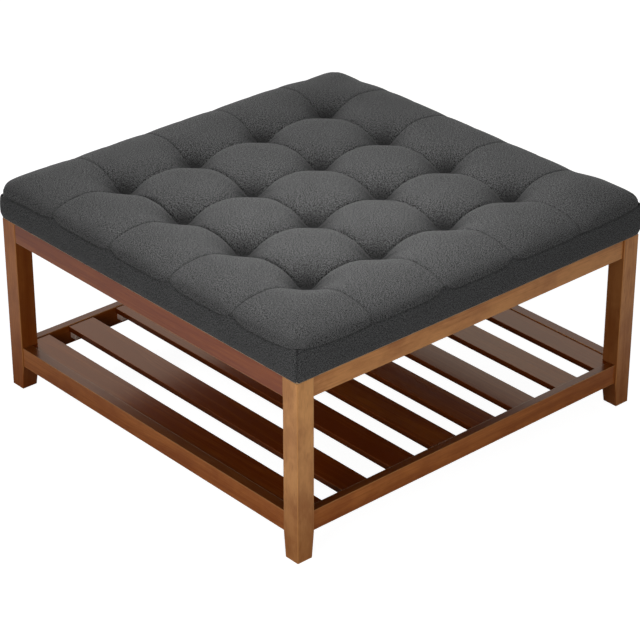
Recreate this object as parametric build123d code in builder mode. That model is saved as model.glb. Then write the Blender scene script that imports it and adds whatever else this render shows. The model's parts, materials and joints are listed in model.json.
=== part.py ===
"""Ottoman coffee table: a tufted cushion on a square wooden frame with a slatted shelf.

All lengths are in millimetres. The origin is on the floor at the centre of the footprint, +Z is up,
+X is to the right and the front is at -Y.
"""

import math
import os

from build123d import *

# Frame, over the outer faces of the legs
frame_width = 900.0
frame_depth = 900.0

# Legs
leg_side = 40.0
leg_height = 382.0
foot_taper_height = 54.0
foot_taper = 5.0
leg_arris = 1.2

# Top aprons, flush with the leg tops
apron_height = 42.0
apron_thickness = 20.0
apron_front_setback = 1.0
apron_side_setback = 4.0
apron_arris = 0.8

# Lower rails
rail_bottom = 54.0
rail_height = 43.0
front_rail_thickness = 22.0
side_rail_thickness = 18.0
front_rail_setback = 2.0
side_rail_setback = 4.5
rail_arris = 0.8

# Shelf slats, from side rail to side rail: three in each half and an end slat against the front or back
slat_width = 63.0
end_slat_width = 56.0
slat_thickness = 12.0
slat_drop = 2.0
slat_end_gap = 0.8
slat_edge_gap = 0.5
slat_arris = 0.8
slat_gap_shares = [0.122, 0.265, 0.331, 0.282]

# Support blocks under the slat ends
block_length = 16.5
block_height = 15.0
block_inset = 4.0
block_leg_gap = 1.0
block_arris = 0.8

# Countersunk screws: up through each support block, and up through each corner block
screw_head_angle = 82.0
screw_clearance = 0.2
slat_screw_radius = 1.75
slat_screw_head_radius = 3.5
slat_screw_bite = 8.0
top_screw_radius = 2.25
top_screw_head_radius = 4.5
top_screw_bite = 9.0

# Dowels in the ends of the aprons and lower rails
dowel_radius = 4.0
dowel_depth = 15.0
dowel_edge = 11.0
dowel_chamfer = 1.0
dowel_end_gap = 0.8
dowel_clearance = 0.05

# Corner blocks, each pulled against its leg by one bolt
corner_block_depth = 31.0
corner_block_height = 34.0
corner_screw_spread = 32.0
corner_screw_depth = 10.0
bolt_radius = 3.0
bolt_clearance = 0.2
bolt_bite = 25.0
bolt_tail = 4.0
washer_radius = 8.0
washer_thickness = 1.6
nut_across_flats = 10.0
nut_thickness = 5.0

# Cushion: base board, foam, side band and tufted cover
cushion_overhang = 4.0
cushion_corner_radius = 10.0
band_height = 63.0
band_bulge = 2.0
band_thickness = 3.0
band_gap = 0.3
flange_thickness = 1.2
flange_width = 30.0
board_thickness = 12.0
foam_thickness = 36.0
crown_height = 33.0
shoulder_width = 27.0
shoulder_rise = 36.0
shoulder_corner_growth = 16.0
shoulder_steps = 3

# Depths of the cover below its crown, at and between the tufts and at the edge of the cushion
tuft_rows = 4
tuft_depth = 37.0
valley_depth = 14.0
edge_crown_depth = 10.0
edge_valley_depth = 22.0
corner_depth = 13.0

# Button, tie and anchor at each tuft
button_radius = 9.0
button_thickness = 4.0
button_gap = 0.3
tie_radius = 1.0
tie_clearance = 0.3
anchor_radius = 11.0
anchor_thickness = 2.5
anchor_gap = 0.3

# Dust cover under the base board
dust_cover_thickness = 1.0
dust_cover_gap = 1.0

# Every cut runs this far past the face it opens
overrun = 1.0

# Faces, levels and places worked out from the sizes above
half_width = frame_width / 2
half_depth = frame_depth / 2
leg_inner_x = half_width - leg_side
leg_inner_y = half_depth - leg_side
apron_inner_x = half_width - apron_side_setback - apron_thickness
apron_inner_y = half_depth - apron_front_setback - apron_thickness
apron_middle_x = apron_inner_x + apron_thickness / 2
apron_middle_y = apron_inner_y + apron_thickness / 2
apron_bottom = leg_height - apron_height
rail_inner_x = half_width - side_rail_setback - side_rail_thickness
rail_inner_y = half_depth - front_rail_setback - front_rail_thickness
rail_middle_x = rail_inner_x + side_rail_thickness / 2
rail_middle_y = rail_inner_y + front_rail_thickness / 2
rail_top = rail_bottom + rail_height
slat_top = rail_top - slat_drop
slat_bottom = slat_top - slat_thickness
slat_half_length = rail_inner_x - slat_end_gap
slat_reach = rail_inner_y - slat_edge_gap
block_bottom = slat_bottom - block_height
block_middle_x = rail_inner_x - block_length / 2
bolt_level = apron_bottom + apron_height / 2
corner_block_bottom = leg_height - corner_block_height
cushion_half_x = half_width + cushion_overhang
cushion_half_y = half_depth + cushion_overhang
core_half_x = cushion_half_x - band_thickness - band_gap
core_half_y = cushion_half_y - band_thickness - band_gap
core_corner_radius = cushion_corner_radius - band_thickness
board_bottom = leg_height + flange_thickness
board_top = board_bottom + board_thickness
foam_top = board_top + foam_thickness
seam_level = leg_height + band_height
crown_level = seam_level + crown_height
dust_half_x = cushion_half_x - flange_width - dust_cover_gap
dust_half_y = cushion_half_y - flange_width - dust_cover_gap
dowel_hole_radius = dowel_radius + dowel_clearance
dowel_hole_depth = dowel_depth + dowel_end_gap
bolt_hole_radius = bolt_radius + bolt_clearance
tie_hole_radius = tie_radius + tie_clearance
corners = [("front_left", -1, -1), ("front_right", 1, -1), ("back_left", -1, 1), ("back_right", 1, 1)]
front_and_back = [("front", -1), ("back", 1)]
left_and_right = [("left", -1), ("right", 1)]
down = (0, 0, -1)

os.makedirs("parts", exist_ok=True)


def save(piece, name):
    """Label one finished piece and write it to its own file."""
    piece.part.label = name
    export_step(piece.part, f"parts/{name}.step")


def face_at(x, y, z, outward):
    """A working plane on a face, with its normal pointing out of the wood."""
    return Plane(origin=(x, y, z), z_dir=outward)


def dowel_levels(bottom, height):
    """The two heights of the dowels in the end of a board."""
    return [bottom + dowel_edge, bottom + height - dowel_edge]


def screw_head_height(radius, head_radius):
    """Depth of a countersunk head."""
    return (head_radius - radius) / math.tan(math.radians(screw_head_angle / 2))


# Centre and width of each slat, from the front to the back, the same about the middle
free_width = slat_reach - (len(slat_gap_shares) - 1) * slat_width - end_slat_width
slat_gaps = [share * free_width for share in slat_gap_shares]
half_rows = []
slat_edge = 0
for gap in slat_gaps[:-1]:
    slat_edge += gap
    half_rows.append((slat_edge + slat_width / 2, slat_width))
    slat_edge += slat_width
half_rows.append((slat_reach - end_slat_width / 2, end_slat_width))
slat_rows = [(-centre, width) for centre, width in reversed(half_rows)] + half_rows

# Support blocks, set in from the slat's edges and clear of the legs: middle and width along Y
block_rows = []
for centre, width in slat_rows:
    low = max(centre - width / 2 + block_inset, -leg_inner_y + block_leg_gap)
    high = min(centre + width / 2 - block_inset, leg_inner_y - block_leg_gap)
    block_rows.append(((low + high) / 2, high - low))

# Tuft places: the tufts divide the cushion evenly both ways
pitch_x = 2 * cushion_half_x / (tuft_rows + 1)
pitch_y = 2 * cushion_half_y / (tuft_rows + 1)
lines_x = [row * pitch_x - cushion_half_x for row in range(tuft_rows + 2)]
lines_y = [row * pitch_y - cushion_half_y for row in range(tuft_rows + 2)]
tufts = [(x, y) for x in lines_x[1:-1] for y in lines_y[1:-1]]

# Screws through each corner block, one each side of its bolt, measured from the leg's inner corner
screw_offsets = [
    (corner_screw_depth + spread, corner_screw_depth - spread)
    for spread in (-corner_screw_spread / 2, corner_screw_spread / 2)
]
top_screw_places = [
    (x * (leg_inner_x - across), y * (leg_inner_y - along))
    for name, x, y in corners
    for across, along in screw_offsets
]


# Legs: square, with the foot drawn in on its two inner faces
for name, x, y in corners:
    foot_side = leg_side - foot_taper
    with BuildPart() as leg:
        with BuildSketch(Plane.XY):
            with Locations((x * (half_width - foot_side / 2), y * (half_depth - foot_side / 2))):
                Rectangle(foot_side, foot_side)
        with BuildSketch(Plane.XY.offset(foot_taper_height)):
            with Locations((x * (half_width - leg_side / 2), y * (half_depth - leg_side / 2))):
                Rectangle(leg_side, leg_side)
        loft()
        with BuildSketch(Plane.XY.offset(foot_taper_height)):
            with Locations((x * (half_width - leg_side / 2), y * (half_depth - leg_side / 2))):
                Rectangle(leg_side, leg_side)
        extrude(amount=leg_height - foot_taper_height)
        fillet(leg.edges().filter_by(lambda edge: edge.bounding_box().size.Z > leg_arris), leg_arris)
        for level in dowel_levels(apron_bottom, apron_height):
            with Locations(face_at(x * leg_inner_x, y * apron_middle_y, level, (-x, 0, 0))):
                Hole(dowel_hole_radius, dowel_hole_depth)
            with Locations(face_at(x * apron_middle_x, y * leg_inner_y, level, (0, -y, 0))):
                Hole(dowel_hole_radius, dowel_hole_depth)
        for level in dowel_levels(rail_bottom, rail_height):
            with Locations(face_at(x * leg_inner_x, y * rail_middle_y, level, (-x, 0, 0))):
                Hole(dowel_hole_radius, dowel_hole_depth)
            with Locations(face_at(x * rail_middle_x, y * leg_inner_y, level, (0, -y, 0))):
                Hole(dowel_hole_radius, dowel_hole_depth)
        with Locations(face_at(x * leg_inner_x, y * leg_inner_y, bolt_level, (-x, -y, 0))):
            Hole(bolt_hole_radius, bolt_bite + overrun)
    save(leg, f"leg_{name}")

# Front and back aprons and lower rails, between the legs
for name, y in front_and_back:
    with BuildPart() as apron:
        with Locations((0, y * apron_middle_y, bolt_level)):
            Box(2 * leg_inner_x, apron_thickness, apron_height)
        fillet(apron.edges(), apron_arris)
        for x in (-1, 1):
            for level in dowel_levels(apron_bottom, apron_height):
                with Locations(face_at(x * leg_inner_x, y * apron_middle_y, level, (x, 0, 0))):
                    Hole(dowel_hole_radius, dowel_hole_depth)
    save(apron, f"apron_{name}")

    with BuildPart() as rail:
        with Locations((0, y * rail_middle_y, rail_bottom + rail_height / 2)):
            Box(2 * leg_inner_x, front_rail_thickness, rail_height)
        fillet(rail.edges(), rail_arris)
        for x in (-1, 1):
            for level in dowel_levels(rail_bottom, rail_height):
                with Locations(face_at(x * leg_inner_x, y * rail_middle_y, level, (x, 0, 0))):
                    Hole(dowel_hole_radius, dowel_hole_depth)
    save(rail, f"lower_rail_{name}")

# Side aprons and lower rails
for name, x in left_and_right:
    with BuildPart() as apron:
        with Locations((x * apron_middle_x, 0, bolt_level)):
            Box(apron_thickness, 2 * leg_inner_y, apron_height)
        fillet(apron.edges(), apron_arris)
        for y in (-1, 1):
            for level in dowel_levels(apron_bottom, apron_height):
                with Locations(face_at(x * apron_middle_x, y * leg_inner_y, level, (0, y, 0))):
                    Hole(dowel_hole_radius, dowel_hole_depth)
    save(apron, f"apron_{name}")

    with BuildPart() as rail:
        with Locations((x * rail_middle_x, 0, rail_bottom + rail_height / 2)):
            Box(side_rail_thickness, 2 * leg_inner_y, rail_height)
        fillet(rail.edges(), rail_arris)
        for y in (-1, 1):
            for level in dowel_levels(rail_bottom, rail_height):
                with Locations(face_at(x * rail_middle_x, y * leg_inner_y, level, (0, y, 0))):
                    Hole(dowel_hole_radius, dowel_hole_depth)
    save(rail, f"lower_rail_{name}")

# Dowels, half in the leg and half in the board, one node for the aprons and one for the lower rails
for name, middle_x, middle_y, levels in (
    ("apron_dowels", apron_middle_x, apron_middle_y, dowel_levels(apron_bottom, apron_height)),
    ("lower_rail_dowels", rail_middle_x, rail_middle_y, dowel_levels(rail_bottom, rail_height)),
):
    with BuildPart() as dowels:
        for corner_name, x, y in corners:
            with Locations(*[(x * leg_inner_x, y * middle_y, level) for level in levels]):
                Cylinder(dowel_radius, 2 * dowel_depth, rotation=(0, 90, 0))
            with Locations(*[(x * middle_x, y * leg_inner_y, level) for level in levels]):
                Cylinder(dowel_radius, 2 * dowel_depth, rotation=(90, 0, 0))
        chamfer(dowels.edges().filter_by(GeomType.CIRCLE), dowel_chamfer)
    save(dowels, name)

# Shelf slats, each with a pilot hole over each support block; the end slats are notched round the legs
for number, (centre, width) in enumerate(slat_rows, start=1):
    with BuildPart() as slat:
        with BuildSketch(Plane.XY.offset(slat_bottom)):
            with Locations((0, centre)):
                Rectangle(2 * slat_half_length, width)
            notch_x = slat_half_length - leg_inner_x + slat_edge_gap + overrun
            notch_y = slat_reach - leg_inner_y + slat_edge_gap + overrun
            for name, x, y in corners:
                corner_x = x * (slat_half_length + overrun - notch_x / 2)
                corner_y = y * (slat_reach + overrun - notch_y / 2)
                with Locations((corner_x, corner_y)):
                    Rectangle(notch_x, notch_y, mode=Mode.SUBTRACT)
        extrude(amount=slat_thickness)
        fillet(slat.edges().filter_by(Axis.X).group_by(SortBy.LENGTH)[-1], slat_arris)
        for x in (-1, 1):
            with Locations(face_at(x * block_middle_x, block_rows[number - 1][0], slat_bottom, down)):
                Hole(slat_screw_radius + screw_clearance, slat_screw_bite + overrun)
    save(slat, f"shelf_slat_{number}")

# Support blocks on the inner faces of the side rails
for name, x in left_and_right:
    with BuildPart() as blocks:
        for centre, width in block_rows:
            with Locations((x * block_middle_x, centre, block_bottom + block_height / 2)):
                Box(block_length, width, block_height)
        fillet(blocks.edges().filter_by(Axis.Z), block_arris)
        for centre, width in block_rows:
            with Locations(face_at(x * block_middle_x, centre, block_bottom, down)):
                CounterSinkHole(
                    slat_screw_radius + screw_clearance,
                    slat_screw_head_radius + screw_clearance,
                    counter_sink_angle=screw_head_angle,
                )
    save(blocks, f"slat_support_blocks_{name}")


def screw_outline(radius, head_radius, length):
    """Half the section of a countersunk wood screw, head down, with its axis on Z."""
    head_height = screw_head_height(radius, head_radius)
    with BuildLine() as outline:
        Polyline(
            (0, 0),
            (head_radius, 0),
            (radius, head_height),
            (radius, length - radius),
            (0, length),
            close=True,
        )
    return outline


# Screws that hold the slats to their support blocks
with BuildPart() as slat_screw:
    with BuildSketch(Plane.XZ):
        add(screw_outline(slat_screw_radius, slat_screw_head_radius, block_height + slat_screw_bite).line)
        make_face()
    revolve(axis=Axis.Z)
with BuildPart() as slat_screws:
    with Locations(*[(x * block_middle_x, row[0], block_bottom) for x in (-1, 1) for row in block_rows]):
        add(slat_screw.part)
save(slat_screws, "slat_screws")

# Corner blocks: a triangle against both aprons, notched round the leg's inner corner
block_span = corner_block_depth * math.sqrt(2)
beside_x = apron_inner_x - leg_inner_x
beside_y = apron_inner_y - leg_inner_y
for name, x, y in corners:
    outline = [
        (0, 0),
        (0, -beside_y),
        (block_span + beside_y, -beside_y),
        (-beside_x, block_span + beside_x),
        (-beside_x, 0),
    ]
    with BuildPart() as corner_block:
        with BuildSketch(Plane.XY.offset(corner_block_bottom)):
            with BuildLine():
                Polyline(*[(x * (leg_inner_x - u), y * (leg_inner_y - v)) for u, v in outline], close=True)
            make_face()
        extrude(amount=corner_block_height)
        with Locations(face_at(x * leg_inner_x, y * leg_inner_y, bolt_level, (-x, -y, 0))):
            Cylinder(bolt_hole_radius, 2 * (corner_block_depth + overrun), mode=Mode.SUBTRACT)
        for across, along in screw_offsets:
            place = face_at(x * (leg_inner_x - across), y * (leg_inner_y - along), corner_block_bottom, down)
            with Locations(place):
                CounterSinkHole(
                    top_screw_radius + screw_clearance,
                    top_screw_head_radius + screw_clearance,
                    counter_sink_angle=screw_head_angle,
                )
    save(corner_block, f"corner_block_{name}")

# Bolts, washers and nuts that pull the corner blocks against the legs
bolt_planes = [face_at(x * leg_inner_x, y * leg_inner_y, bolt_level, (-x, -y, 0)) for name, x, y in corners]
with BuildPart() as corner_bolts:
    for plane in bolt_planes:
        with BuildSketch(plane.offset(-bolt_bite)):
            Circle(bolt_radius)
        extrude(amount=bolt_bite + corner_block_depth + washer_thickness + nut_thickness + bolt_tail)
save(corner_bolts, "corner_bolts")

with BuildPart() as corner_washers:
    for plane in bolt_planes:
        with BuildSketch(plane.offset(corner_block_depth)):
            Circle(washer_radius)
            Circle(bolt_hole_radius, mode=Mode.SUBTRACT)
        extrude(amount=washer_thickness)
save(corner_washers, "corner_washers")

with BuildPart() as corner_nuts:
    for plane in bolt_planes:
        with BuildSketch(plane.offset(corner_block_depth + washer_thickness)):
            RegularPolygon(nut_across_flats / 2, 6, major_radius=False)
            Circle(bolt_hole_radius, mode=Mode.SUBTRACT)
        extrude(amount=nut_thickness)
save(corner_nuts, "corner_nuts")

# Screws that hold the cushion's base board down on the frame
top_screw_length = board_bottom + top_screw_bite - corner_block_bottom
with BuildPart() as top_screw:
    with BuildSketch(Plane.XZ):
        add(screw_outline(top_screw_radius, top_screw_head_radius, top_screw_length).line)
        make_face()
    revolve(axis=Axis.Z)
with BuildPart() as top_screws:
    with Locations(*[(x, y, corner_block_bottom) for x, y in top_screw_places]):
        add(top_screw.part)
save(top_screws, "top_screws")

# Base board, with a bore for each tie, a recess for each anchor and a pilot hole for each screw
with BuildPart() as base_board:
    with BuildSketch(Plane.XY.offset(board_bottom)):
        RectangleRounded(2 * core_half_x, 2 * core_half_y, core_corner_radius)
    extrude(amount=board_thickness)
    with Locations(*[face_at(x, y, board_bottom, down) for x, y in tufts]):
        CounterBoreHole(tie_hole_radius, anchor_radius + anchor_gap, anchor_thickness + anchor_gap)
    with Locations(*[face_at(x, y, board_bottom, down) for x, y in top_screw_places]):
        Hole(top_screw_radius + screw_clearance, top_screw_bite + overrun)
save(base_board, "base_board")

# Foam slab on the board
with BuildPart() as foam_slab:
    with BuildSketch(Plane.XY.offset(board_top)):
        RectangleRounded(2 * core_half_x, 2 * core_half_y, core_corner_radius)
        with Locations(*tufts):
            Circle(tie_hole_radius, mode=Mode.SUBTRACT)
    extrude(amount=foam_thickness)
save(foam_slab, "foam_slab")

# Buttons under the cover, anchors in the board, and the ties between them
with BuildPart() as tuft_buttons:
    with BuildSketch(Plane.XY.offset(foam_top)):
        with Locations(*tufts):
            Circle(button_radius)
    extrude(amount=button_thickness)
save(tuft_buttons, "tuft_buttons")

with BuildPart() as tuft_anchors:
    with BuildSketch(Plane.XY.offset(board_bottom)):
        with Locations(*tufts):
            Circle(anchor_radius)
    extrude(amount=anchor_thickness)
save(tuft_anchors, "tuft_anchors")

with BuildPart() as tuft_ties:
    with BuildSketch(Plane.XY.offset(board_bottom + anchor_thickness)):
        with Locations(*tufts):
            Circle(tie_radius)
    extrude(amount=foam_top - board_bottom - anchor_thickness)
save(tuft_ties, "tuft_ties")

# Dust cover, in the opening of the band's flange, with a hole for each screw
with BuildPart() as dust_cover:
    with BuildSketch(Plane.XY.offset(board_bottom - dust_cover_thickness)):
        Rectangle(2 * dust_half_x, 2 * dust_half_y)
        with Locations(*top_screw_places):
            Circle(top_screw_radius + screw_clearance, mode=Mode.SUBTRACT)
    extrude(amount=dust_cover_thickness)
save(dust_cover, "dust_cover")

# Side band: a wall that swells a little and turns in under the board
with BuildPart() as band_ring:
    for level, swell in ((leg_height, 0), (leg_height + band_height / 2, band_bulge), (seam_level, 0)):
        with BuildSketch(Plane.XY.offset(level)):
            RectangleRounded(
                2 * (cushion_half_x + swell), 2 * (cushion_half_y + swell), cushion_corner_radius + swell
            )
    loft()
    with BuildSketch(Plane.XY.offset(board_bottom)):
        RectangleRounded(2 * (core_half_x + band_gap), 2 * (core_half_y + band_gap), core_corner_radius)
    extrude(amount=band_height, mode=Mode.SUBTRACT)
    with BuildSketch(Plane.XY.offset(leg_height)):
        Rectangle(2 * (cushion_half_x - flange_width), 2 * (cushion_half_y - flange_width))
    extrude(amount=flange_thickness, mode=Mode.SUBTRACT)

# The band is sewn from four panels, which meet at the corners
for name, x, y in (("front", 0, -1), ("back", 0, 1), ("left", -1, 0), ("right", 1, 0)):
    ends = [(2 * cushion_half_x * u, 2 * cushion_half_y * v) for u, v in ((x - y, y - x), (x + y, y + x))]
    with BuildPart() as band:
        add(band_ring.part)
        with BuildSketch(Plane.XY.offset(leg_height)):
            with BuildLine():
                Polyline((0, 0), *ends, close=True)
            make_face()
        extrude(amount=band_height, mode=Mode.INTERSECT)
    save(band, f"side_band_{name}")


def cover_level(line, crossing):
    """Height of the cover where two lines cross, each of them an edge, a middle or a tuft line."""
    depths = {
        ("edge", "edge"): corner_depth,
        ("edge", "middle"): edge_crown_depth,
        ("edge", "tuft"): edge_valley_depth,
        ("middle", "middle"): 0,
        ("middle", "tuft"): valley_depth,
        ("tuft", "tuft"): tuft_depth,
    }
    return crown_level - depths[tuple(sorted((line, crossing)))]


def cells(lines):
    """The three stations of each puff along one axis: its first side, its middle and its last side."""
    kinds = ["edge"] + ["tuft"] * tuft_rows + ["edge"]
    for first, last, first_kind, last_kind in zip(lines, lines[1:], kinds, kinds[1:]):
        yield (first, first_kind), ((first + last) / 2, "middle"), (last, last_kind)


# Rounded shoulder that trims the outer puffs, over the slab that fits inside the band
with BuildPart() as cushion_shape:
    for step in range(shoulder_steps + 1):
        turn = math.radians(90 * step / shoulder_steps)
        inset = shoulder_width * (1 - math.cos(turn))
        with BuildSketch(Plane.XY.offset(seam_level + shoulder_rise * math.sin(turn))):
            RectangleRounded(
                2 * (cushion_half_x - inset),
                2 * (cushion_half_y - inset),
                cushion_corner_radius + shoulder_corner_growth * math.sin(turn),
            )
    loft()
    with BuildSketch(Plane.XY.offset(foam_top)):
        RectangleRounded(2 * core_half_x, 2 * core_half_y, core_corner_radius)
    extrude(amount=seam_level - foam_top)

# Tufted cover with its padding: each puff is a loft through three arcs, over a pocket for each button
with BuildPart() as tufted_cover:
    for stations_x in cells(lines_x):
        for low, middle, high in cells(lines_y):
            for x, kind in stations_x:
                crest = [(y, cover_level(kind, y_kind)) for y, y_kind in (low, middle, high)]
                with BuildSketch(Plane.YZ.offset(x)):
                    with BuildLine():
                        Polyline(crest[0], (low[0], foam_top), (high[0], foam_top), crest[2])
                        ThreePointArc(*crest)
                    make_face()
            loft()
    add(cushion_shape.part, mode=Mode.INTERSECT)
    with BuildSketch(Plane.XY.offset(foam_top)):
        with Locations(*tufts):
            Circle(button_radius + button_gap)
    extrude(amount=button_thickness + button_gap, mode=Mode.SUBTRACT)
save(tufted_cover, "tufted_cover")
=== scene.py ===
"""Looks of a tufted ottoman coffee table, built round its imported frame.

The table is a square frame of stained hardwood with a slatted shelf. Its cushion top is drawn down at
sixteen blind tufts. Lengths are in metres, +Z is up and the front is at -Y.
"""

from __future__ import annotations

import json
import logging
import math
from collections.abc import Iterator
from dataclasses import dataclass, field, replace
from enum import Enum

import bpy
import numpy as np
from mathutils import Matrix, Vector

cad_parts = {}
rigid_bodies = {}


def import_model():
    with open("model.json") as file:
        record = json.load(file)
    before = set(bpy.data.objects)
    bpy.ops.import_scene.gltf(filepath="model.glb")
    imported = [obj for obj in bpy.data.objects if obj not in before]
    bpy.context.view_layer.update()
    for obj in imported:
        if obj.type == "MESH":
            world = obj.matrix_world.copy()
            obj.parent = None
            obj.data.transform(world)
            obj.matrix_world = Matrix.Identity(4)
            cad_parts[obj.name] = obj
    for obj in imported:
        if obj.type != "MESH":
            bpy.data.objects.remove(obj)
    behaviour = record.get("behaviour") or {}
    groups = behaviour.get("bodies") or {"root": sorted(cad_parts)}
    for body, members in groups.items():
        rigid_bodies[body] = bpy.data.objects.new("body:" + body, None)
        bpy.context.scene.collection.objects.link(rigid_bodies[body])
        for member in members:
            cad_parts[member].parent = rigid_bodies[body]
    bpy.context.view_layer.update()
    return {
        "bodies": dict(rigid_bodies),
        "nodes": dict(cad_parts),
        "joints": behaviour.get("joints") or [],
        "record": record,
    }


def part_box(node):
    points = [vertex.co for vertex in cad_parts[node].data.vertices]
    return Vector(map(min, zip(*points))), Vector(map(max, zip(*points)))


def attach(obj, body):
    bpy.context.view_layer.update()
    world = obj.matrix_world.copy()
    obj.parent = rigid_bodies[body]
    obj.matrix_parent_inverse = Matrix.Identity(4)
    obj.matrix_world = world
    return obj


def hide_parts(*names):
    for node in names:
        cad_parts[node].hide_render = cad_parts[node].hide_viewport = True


log = logging.getLogger("ottoman")

Colour = tuple[float, float, float, float]
Point = tuple[float, float, float]
Socket = bpy.types.NodeSocket
Piece = bpy.types.Object
Material = bpy.types.Material

BODY = "root"
CLOTH_MAP = "cloth"
# The attribute that holds painted shade on the cloth pieces
SHADE = "painted_shade"
WHITE = (1.0, 1.0, 1.0, 1.0)

# Sizes that the cushion's pieces share
CUSHION_HALF = 0.454
SEAM_LEVEL = 0.4392
TUFT_PITCH = 0.1816
TUFT_LINES = (-0.2724, -0.0908, 0.0908, 0.2724)


class GrainAxis(Enum):
    """The axis that the wood's grain follows, and the turn that brings it onto X."""

    ALONG_X = (0.0, 0.0, 0.0)
    ALONG_Y = (0.0, 0.0, math.pi / 2)
    ALONG_Z = (0.0, math.pi / 2, 0.0)


class Side(Enum):
    """The four sides of the table, as the quarter turns about Z that bring the front onto each."""

    FRONT = 0
    RIGHT = 1
    BACK = 2
    LEFT = 3


class Graph:
    """Adds and joins the nodes of one shader tree."""

    def __init__(self, tree: bpy.types.NodeTree) -> None:
        """Takes a material's or group's tree, and empties it."""
        self.tree = tree
        tree.nodes.clear()

    def add(self, kind: str, inputs: dict | None = None, **settings: object) -> bpy.types.Node:
        """Adds a node.

        Args:
            kind: the node's type.
            inputs: values or sockets for its named or numbered inputs.
            settings: the node's own properties.

        Returns:
            The new node.
        """
        node = self.tree.nodes.new(kind)
        for name, value in settings.items():
            setattr(node, name, value)
        for name, value in (inputs or {}).items():
            self.feed(node.inputs[name], value)
        return node

    def feed(self, socket: Socket, value: object) -> None:
        """Links an input, or sets its plain value.

        Args:
            socket: the input.
            value: another node's output, or a plain value.
        """
        if isinstance(value, Socket):
            self.tree.links.new(value, socket)
        else:
            socket.default_value = value

    def math(self, operation: str, a: object, b: object = 0.0, clamp: bool = False) -> Socket:
        """One sum of two values, held to 0 to 1 where clamp is set."""
        return self.add("ShaderNodeMath", {0: a, 1: b}, operation=operation, use_clamp=clamp).outputs[0]

    def plus(self, a: object, b: object) -> Socket:
        """a plus b."""
        return self.math("ADD", a, b)

    def times(self, a: object, b: object) -> Socket:
        """a times b."""
        return self.math("MULTIPLY", a, b)

    def weighed(self, *terms: tuple[object, float]) -> Socket:
        """The sum of some values, each times its own share.

        Args:
            terms: pairs of a value and its share.

        Returns:
            The sum.
        """
        total = self.times(*terms[0])
        for term in terms[1:]:
            total = self.plus(total, self.times(*term))
        return total

    def vector(self, operation: str, a: object, b: object) -> Socket:
        """One sum of two vectors."""
        return self.add("ShaderNodeVectorMath", {0: a, 1: b}, operation=operation).outputs[0]

    def joined(self, x: object, y: object, z: object) -> Socket:
        """A vector of three values."""
        return self.add("ShaderNodeCombineXYZ", {"X": x, "Y": y, "Z": z}).outputs[0]

    def parts(self, vector: object) -> bpy.types.NodeOutputs:
        """The x, y and z of a vector."""
        return self.add("ShaderNodeSeparateXYZ", {0: vector}).outputs

    def place(self) -> Socket:
        """The shaded point in the table's own frame."""
        return self.add("ShaderNodeTexCoord").outputs["Object"]

    def facing(self) -> bpy.types.NodeOutputs:
        """The x, y and z of the direction that the surface faces."""
        return self.parts(self.add("ShaderNodeNewGeometry").outputs["True Normal"])

    def spread(
        self, value: object, low: float, high: float, to: tuple[float, float] = (0.0, 1.0)
    ) -> Socket:
        """Maps low..high onto the range in to, held to its ends, with a smooth start and stop."""
        span = {"Value": value, "From Min": low, "From Max": high, "To Min": to[0], "To Max": to[1]}
        return self.add("ShaderNodeMapRange", span, interpolation_type="SMOOTHSTEP").outputs[0]

    def noise(
        self, vector: object, scale: float, detail: float, roughness: float, distortion: float = 0.0
    ) -> Socket:
        """Noise from 0 to 1."""
        look = {"Scale": scale, "Detail": detail, "Roughness": roughness, "Distortion": distortion}
        return self.add("ShaderNodeTexNoise", {"Vector": vector, **look}).outputs[0]

    def stretched(self, vector: object, scale: Point, shift: Point = (0.0, 0.0, 0.0)) -> Socket:
        """Coordinates scaled by axis and shifted."""
        return self.add("ShaderNodeMapping", {"Vector": vector, "Scale": scale, "Location": shift}).outputs[0]

    def turned(self, vector: object, axis: GrainAxis) -> Socket:
        """Coordinates turned so that the grain runs along X."""
        turn = {"Vector": vector, "Rotation": axis.value}
        return self.add("ShaderNodeVectorRotate", turn, rotation_type="EULER_XYZ").outputs[0]

    def blend(self, factor: object, a: object, b: object) -> Socket:
        """The colour a where the factor is 0, b where it is 1, and between them a mix."""
        inputs = {0: factor, 6: a, 7: b}
        return self.add("ShaderNodeMix", inputs, data_type="RGBA", clamp_factor=True).outputs[2]

    def bump(self, height: object, distance: float, strength: float, normal: Socket | None = None) -> Socket:
        """A normal raised by a height.

        Args:
            height: the height, in shares of the distance.
            distance: how far a height of 1 stands out, in metres.
            strength: how much of the effect shows.
            normal: the normal that it raises, where that isn't the surface's own.

        Returns:
            The new normal.
        """
        inputs = {"Height": height, "Distance": distance, "Strength": strength}
        if normal is not None:
            inputs["Normal"] = normal
        return self.add("ShaderNodeBump", inputs).outputs[0]

    def close(self, inputs: dict) -> None:
        """Puts a Principled shader with these inputs on the material's output."""
        shader = self.add("ShaderNodeBsdfPrincipled", inputs)
        self.add("ShaderNodeOutputMaterial", {"Surface": shader.outputs[0]})


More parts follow.
